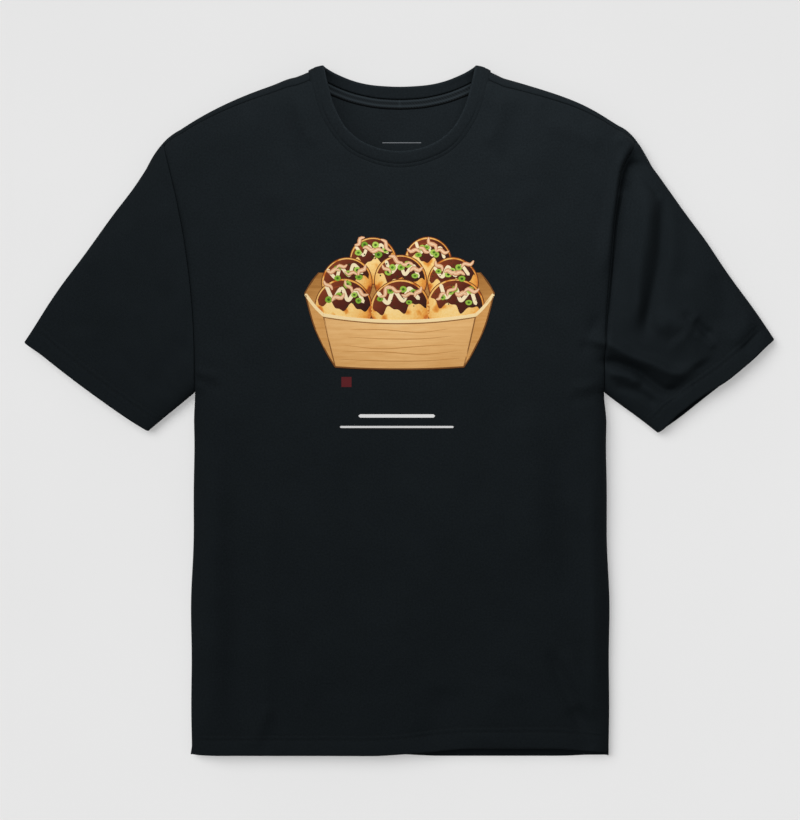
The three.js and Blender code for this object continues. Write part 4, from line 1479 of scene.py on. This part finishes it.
class SHIRT_OT_print(ShirtOperator, bpy.types.Operator):
    """Print the chest: a plain boat of dumpling balls, two light bars and a small square"""

    bl_idname = "shirt.print"
    bl_label = "Chest print"

    def make(self, cut, sizes, colours):
        self.cut = cut
        self.scale = sizes.print_width / MM / BOAT_WIDTH
        self.boat()
        self.balls()
        self.sauces()
        self.toppings()
        self.captions()

    def lay(self, name, fields, material, spacing=2.4):
        """Lays fields of one ink on the cloth. Each is an outline, a level and a shade, which is one for the
        whole field or a function of the place."""
        verts, faces, shades = [], [], []
        for outline, level, shade in fields:
            points, triangles = fill(np.asarray(outline), spacing, (0.5,))
            start = sum(len(v) for v in verts)
            x, y = (points * self.scale).T
            height = self.cut.torso_top(x, y) + INK_BASE + level * INK_STEP
            verts.append(np.column_stack([x, y, height]))
            faces.append(triangles + start)
            shades.append(shade(*points.T) if callable(shade) else np.full(len(points), float(shade)))
        verts, faces, shades = np.vstack(verts), np.vstack(faces), np.concatenate(shades)
        piece = shell(name, verts, faces, verts[:, :2], INK_BASE, material, nose=0.2, shade=shades)
        finish_piece(piece, "jersey")

    def boat(self):
        rim_x = np.linspace(-83, 83, 31)
        rim = np.column_stack([rim_x, 97 + 7 * (rim_x / 83) ** 2])
        keel_x = np.linspace(-70, 70, 25)
        keel = np.column_stack([keel_x, 45 + 2.5 * (keel_x / 70) ** 2])
        tip, far = (BOAT_WIDTH / 2, 128), (88, 150)
        inner = np.vstack([rim, tip, far, np.multiply(far, (-1, 1)), np.multiply(tip, (-1, 1))])
        front = np.vstack([keel, rim[::-1]])
        wood = [
            (inner, 0, lambda x, y: 0.32 - 0.006 * (y - 100)),
            (front, TOP_LEVEL, lambda x, y: 0.62 + 0.004 * (y - 70) - 0.0016 * np.abs(x)),
        ]
        lines = []
        above = TOP_LEVEL + 1
        for side in (1, -1):
            mirror = (side, 1)
            low, high, out = keel[-1] * mirror, rim[-1] * mirror, np.multiply(tip, mirror)
            bulge = np.array([(side * 80, 64), (side * 93, 92)])
            wood.append((np.vstack([low, bulge, out, high]), TOP_LEVEL, 0.36))
            lines.append((ribbon([high, (side * 77, 76), low], 1.3), above, 0.2))
            lines.append((ribbon([out, *bulge[::-1], low], 1.5), above, 0))
            edge = [(side * 102, 126), (side * 92, 113), (side * 83, 104)]
            wood.append((ribbon(edge, 3.4), above, 1))
        wood.append((ribbon(rim[::3], 3.6), above, 1))
        lines.append((ribbon(rim[::3] - (0, 2.6), 1.1), above, 0.25))
        lines.append((ribbon(keel[::3], 1.6), above, 0))
        for side in (1, -1):
            lines.append((ribbon([(side * 103, 128), (side * 96, 140), (side * 88, 150)], 1.2), 1, 0))
        for k, height in enumerate((54, 62, 69, 78, 86)):
            reach = 66 - 3 * k
            swell = 2.2 * math.sin(k * 2.1)
            grain = [
                (-reach, height + 2),
                (-reach / 3, height + swell),
                (reach / 2.5, height - swell / 2),
                (reach, height + 3),
            ]
            lines.append((ribbon(grain, 0.9, taper=0.9, step=5), above, 0.85))
        shades = ("#9a6429", "#cf9652", "#e9b878", "#f7dca6")
        self.lay("print_boat", wood, make_ink("printed_wood_ink", shades, 3.5, 0.22, stretch=9.0))
        shades = ("#6f431b", "#c98f4e")
        self.lay("print_boat_lines", lines, make_ink("printed_line_ink", shades, 4, 0.1), 1.6)

    def balls(self):
        rims, balls = [], []
        for row, level in BALL_ROWS:
            for k, (cx, cy, radius, _) in enumerate(row):
                seed = level + k * 1.7
                rims.append((circle(cx, cy, radius + 0.9, 60, 0.008, seed), level, 0.2))
                ball = circle(cx, cy, radius, 60, 0.008, seed)
                balls.append((ball, level + 1, ball_shade(cx, cy, radius, seed)))
        self.lay("print_ball_rims", rims, make_ink("printed_rim_ink", ("#5a260d", "#9a4c1a"), 4, 0.2), 4)
        shades = ("#8f3d12", "#cc6f24", "#eba548", "#f8cf80", "#fde2a6")
        self.lay("print_balls", balls, make_ink("printed_batter_ink", shades, 2.2, 0.2))

    def sauces(self):
        sauce, cream = [], []
        over = np.linspace(math.pi * 0.94, math.pi * 0.06, 26)
        cap = 0.95 * np.column_stack([np.cos(over), np.sin(over)])
        t = np.linspace(0, 1, 34)[1:-1]
        glint = ((-0.62, 0.42), (-0.4, 0.66), (-0.1, 0.76))
        zigzag = [(u, 0.28 if i % 2 else 0.66) for i, u in enumerate(np.linspace(-0.66, 0.66, 6))]
        for row, level in BALL_ROWS:
            for k, ball in enumerate(row):
                seed = 1.3 * k + level
                drip = 0.10 + 0.13 * np.sin(t * 15 + seed) + 0.06 * np.sin(t * 31 + seed)
                lower = np.column_stack([0.93 * (1 - 2 * t), drip - 0.10 * np.sin(math.pi * t)])
                sauce.append((on_ball(np.vstack([cap, lower]), ball), level + 2, sauce_shade(*ball[:3])))
                sauce.append((ribbon(on_ball(glint, ball), 2, 0.9), level + 2.5, 1))
                cream.append((ribbon(on_ball(zigzag, ball), 0.13 * ball[2], step=1.2), level + 3, 0.55))
        shades = ("#2c0f07", "#571f0e", "#8a3d1b")
        self.lay("print_sauce", sauce, make_ink("printed_sauce_ink", shades, 5, 0.12), 2.2)
        self.lay("print_cream", cream, make_ink("printed_cream_ink", ("#ecd3a0", "#fbeecb"), 4, 0.15), 1.6)

    def toppings(self):
        rng = np.random.default_rng(8)
        flakes, rings, holes, specks = [], [], [], []
        balls = FAR_BALLS + BACK_BALLS + FRONT_BALLS
        for cx, cy, r, _ in balls:
            for k in range(4):
                # a thin shaving, wavy and lying any way
                x = cx + r * (-0.55 + 0.37 * k) + rng.uniform(-2, 2)
                y = cy + r * rng.uniform(0.35, 0.85)
                long, lean = rng.uniform(5.5, 8.5), rng.uniform(-1.2, 1.2)
                wave = long * rng.uniform(0.2, 0.32) * (1 if k % 2 else -1)
                line = [(x - long, y), (x - long * 0.4, y + wave), (x + long * 0.35, y - wave), (x + long, y)]
                wide = rng.uniform(3.4, 4.8)
                for layer, (width, tone) in enumerate(((wide + 0.9, 0), (wide - 0.3, 0.6), (0.9, 1))):
                    flake = turned(ribbon(line, width, 0.6), x, y, lean)
                    flakes.append((flake, TOP_LEVEL + layer + k % 2, tone))
        for cx, cy, r, _ in balls:
            for k in range(5):
                angle = 0.5 + k * 0.52 + rng.uniform(-0.2, 0.2)
                away = r * rng.uniform(0.35, 0.85)
                x, y = cx + away * math.cos(angle), cy + away * math.sin(angle)
                size, squash = rng.uniform(3.3, 4.4), rng.uniform(0.7, 1.0)
                rings.append((circle(x, y, size, 18, 0.03, k, squash), TOP_LEVEL, rng.uniform(0.3, 1)))
                hole = circle(x, y, size * 0.42, 10, 0, 0, squash)
                holes.append((hole, TOP_LEVEL + 1, rng.uniform(0, 1)))
            for k in range(9):
                angle, away = rng.uniform(0.2, 2.9), r * rng.uniform(0.1, 0.9)
                x, y = cx + away * math.cos(angle), cy + away * math.sin(angle)
                specks.append((circle(x, y, rng.uniform(0.5, 0.9), 6), TOP_LEVEL - 0.4, 0.1))
        shades = ("#a9683c", "#dfa67a", "#f6d6b0")
        self.lay("print_fish_flakes", flakes, make_ink("printed_flake_ink", shades, 3, 0.15), 2)
        shades = ("#4f7d1c", "#84ae33", "#b3d15a")
        self.lay("print_leek_rings", rings, make_ink("printed_green_ink", shades, 3, 0.2), 2)
        shades = ("#2f4d12", "#4f7d1c")
        self.lay("print_leek_middles", holes, make_ink("printed_dark_green_ink", shades, 3, 0.1), 2)
        shades = ("#1f3a12", "#35551b")
        self.lay("print_seaweed_specks", specks, make_ink("printed_seaweed_ink", shades, 3, 0.1), 2)

    def captions(self):
        bars = [
            (ribbon([(-43, -6), (-3, -6), (37, -6)], 3.6, step=4), 0, 0.8),
            (ribbon([(-64, -18), (-3, -18), (58, -18)], 2.2, step=4), 0, 0.5),
        ]
        shades = ("#d9dadb", "#f2f2f1")
        self.lay("print_caption_bars", bars, make_ink("printed_white_ink", shades, 3, 0.2), 2)
        corners = np.array([(-63.3, 25.5), (-52.3, 25.5), (-52.3, 36.5), (-63.3, 36.5)])
        sides = np.vstack([evenly(np.array([a, b]), 2) for a, b in zip(corners, np.roll(corners, -1, 0))])
        shades = ("#46131a", "#6b1d20")
        self.lay("print_seal_square", [(sides, 0, 0.5)], make_ink("printed_red_ink", shades, 2, 0.3), 2)


# ---- The stage ----


class SHIRT_OT_stage(ShirtOperator, bpy.types.Operator):
    """Lay out the pale floor, the studio lights and the camera above the shirt"""

    bl_idname = "shirt.stage"
    bl_label = "Floor, lights and camera"

    def make(self, cut, sizes, colours):
        # matt coated board, whose grain is too faint to see but as a slight unevenness
        material, tree, shader = new_material("matt_coated_board")
        at = add_node(tree, "ShaderNodeTexCoord").outputs["Object"]
        grain = add_node(tree, "ShaderNodeTexNoise", {"Vector": at}, Scale=3, Detail=3)
        stops = ((0.3, hex_colour("#e3e3e3")), (0.7, hex_colour("#e5e5e5")))
        colour_by(tree, shader, grain.outputs["Fac"], stops)
        set_shader(shader, Roughness=0.95, Specular_IOR_Level=0.05)
        half, low = 4000, -0.4
        corners = [(-half, -half, low), (half, -half, low), (half, half, low), (-half, half, low)]
        floor = mesh_object("floor", corners, [(0, 1, 2, 3)], None, material)
        # the window light throws the shirt's soft shadow on the board; the overhead light and the softbox
        # above the collar model the cloth
        self.light("window", "SUN", (-0.5, 0.5, 0.8), 1.68, 46, floor, "INCLUDE")
        from_above = self.light("board_fill", "SUN", (0, 0, 1), 1.445, 20, floor, "INCLUDE")
        from_above.data.use_shadow = False
        self.light("overhead", "SUN", (-0.57, 0.38, 1), 1.32, 60, floor, "EXCLUDE")
        softbox = self.light("softbox", "AREA", (0.12, 0.62, 0.52), 3.4, 0, floor, "EXCLUDE")
        softbox.data.size = 0.4
        world = bpy.data.worlds.new("studio")
        bpy.context.scene.world = world
        world.use_nodes = True
        set_shader(world.node_tree.nodes["Background"], Color=(1, 1, 1, 1), Strength=0.15)
        bpy.context.scene.view_settings.view_transform = "Standard"
        camera = bpy.data.cameras.new("camera")
        camera.lens, camera.sensor_width = 85, 36
        eye = link_object("camera", camera)
        eye.location = (0.0005, 0.0005, 2.138)
        bpy.context.scene.camera = eye

    def light(self, name, kind, at, power, soft_degrees, floor, state):
        """A lamp that lights only the floor, or all but the floor."""
        data = bpy.data.lights.new(name, kind)
        data.energy = power
        if kind == "SUN":
            data.angle = math.radians(soft_degrees)
        lamp = link_object(name, data)
        lamp.location = at
        lamp.rotation_euler = (Vector((0, 0.1, 0)) - Vector(at)).to_track_quat("-Z", "Y").to_euler()
        group = bpy.data.collections.new(name + "_lights")
        group.objects.link(floor)
        lamp.light_linking.receiver_collection = group
        group.collection_objects[0].light_linking.link_state = state
        return lamp


class SHIRT_PT_panel(bpy.types.Panel):
    """The shirt's pieces in the order they are made, with its sizes and colours"""

    bl_label = "T-shirt"
    bl_idname = "SHIRT_PT_panel"
    bl_space_type = "VIEW_3D"
    bl_region_type = "UI"
    bl_category = "T-shirt"

    def draw(self, context):
        for piece in PIECES:
            self.layout.operator(piece.bl_idname)
        for group in (context.scene.shirt_sizes, context.scene.shirt_colours):
            for key in group.__annotations__:
                self.layout.prop(group, key)


PIECES = (
    SHIRT_OT_stage,
    SHIRT_OT_stitches,
    SHIRT_OT_print,
    SHIRT_OT_label,
    SHIRT_OT_back,
    SHIRT_OT_front,
    SHIRT_OT_sleeves,
    SHIRT_OT_collar,
    SHIRT_OT_neck_tape,
)
CLASSES = (ShirtSizes, ShirtColours, *PIECES, SHIRT_PT_panel)


def register():
    for cls in CLASSES:
        bpy.utils.register_class(cls)
    bpy.types.Scene.shirt_sizes = PointerProperty(type=ShirtSizes)
    bpy.types.Scene.shirt_colours = PointerProperty(type=ShirtColours)


def unregister():
    del bpy.types.Scene.shirt_colours
    del bpy.types.Scene.shirt_sizes
    for cls in reversed(CLASSES):
        bpy.utils.unregister_class(cls)


def main():
    register()
    bpy.ops.shirt.stage()
    bpy.ops.shirt.stitches()
    bpy.ops.shirt.print()
    bpy.ops.shirt.label()
    bpy.ops.shirt.back()
    bpy.ops.shirt.front()
    bpy.ops.shirt.sleeves()
    bpy.ops.shirt.collar()
    bpy.ops.shirt.neck_tape()


if __name__ == "__main__":
    main()
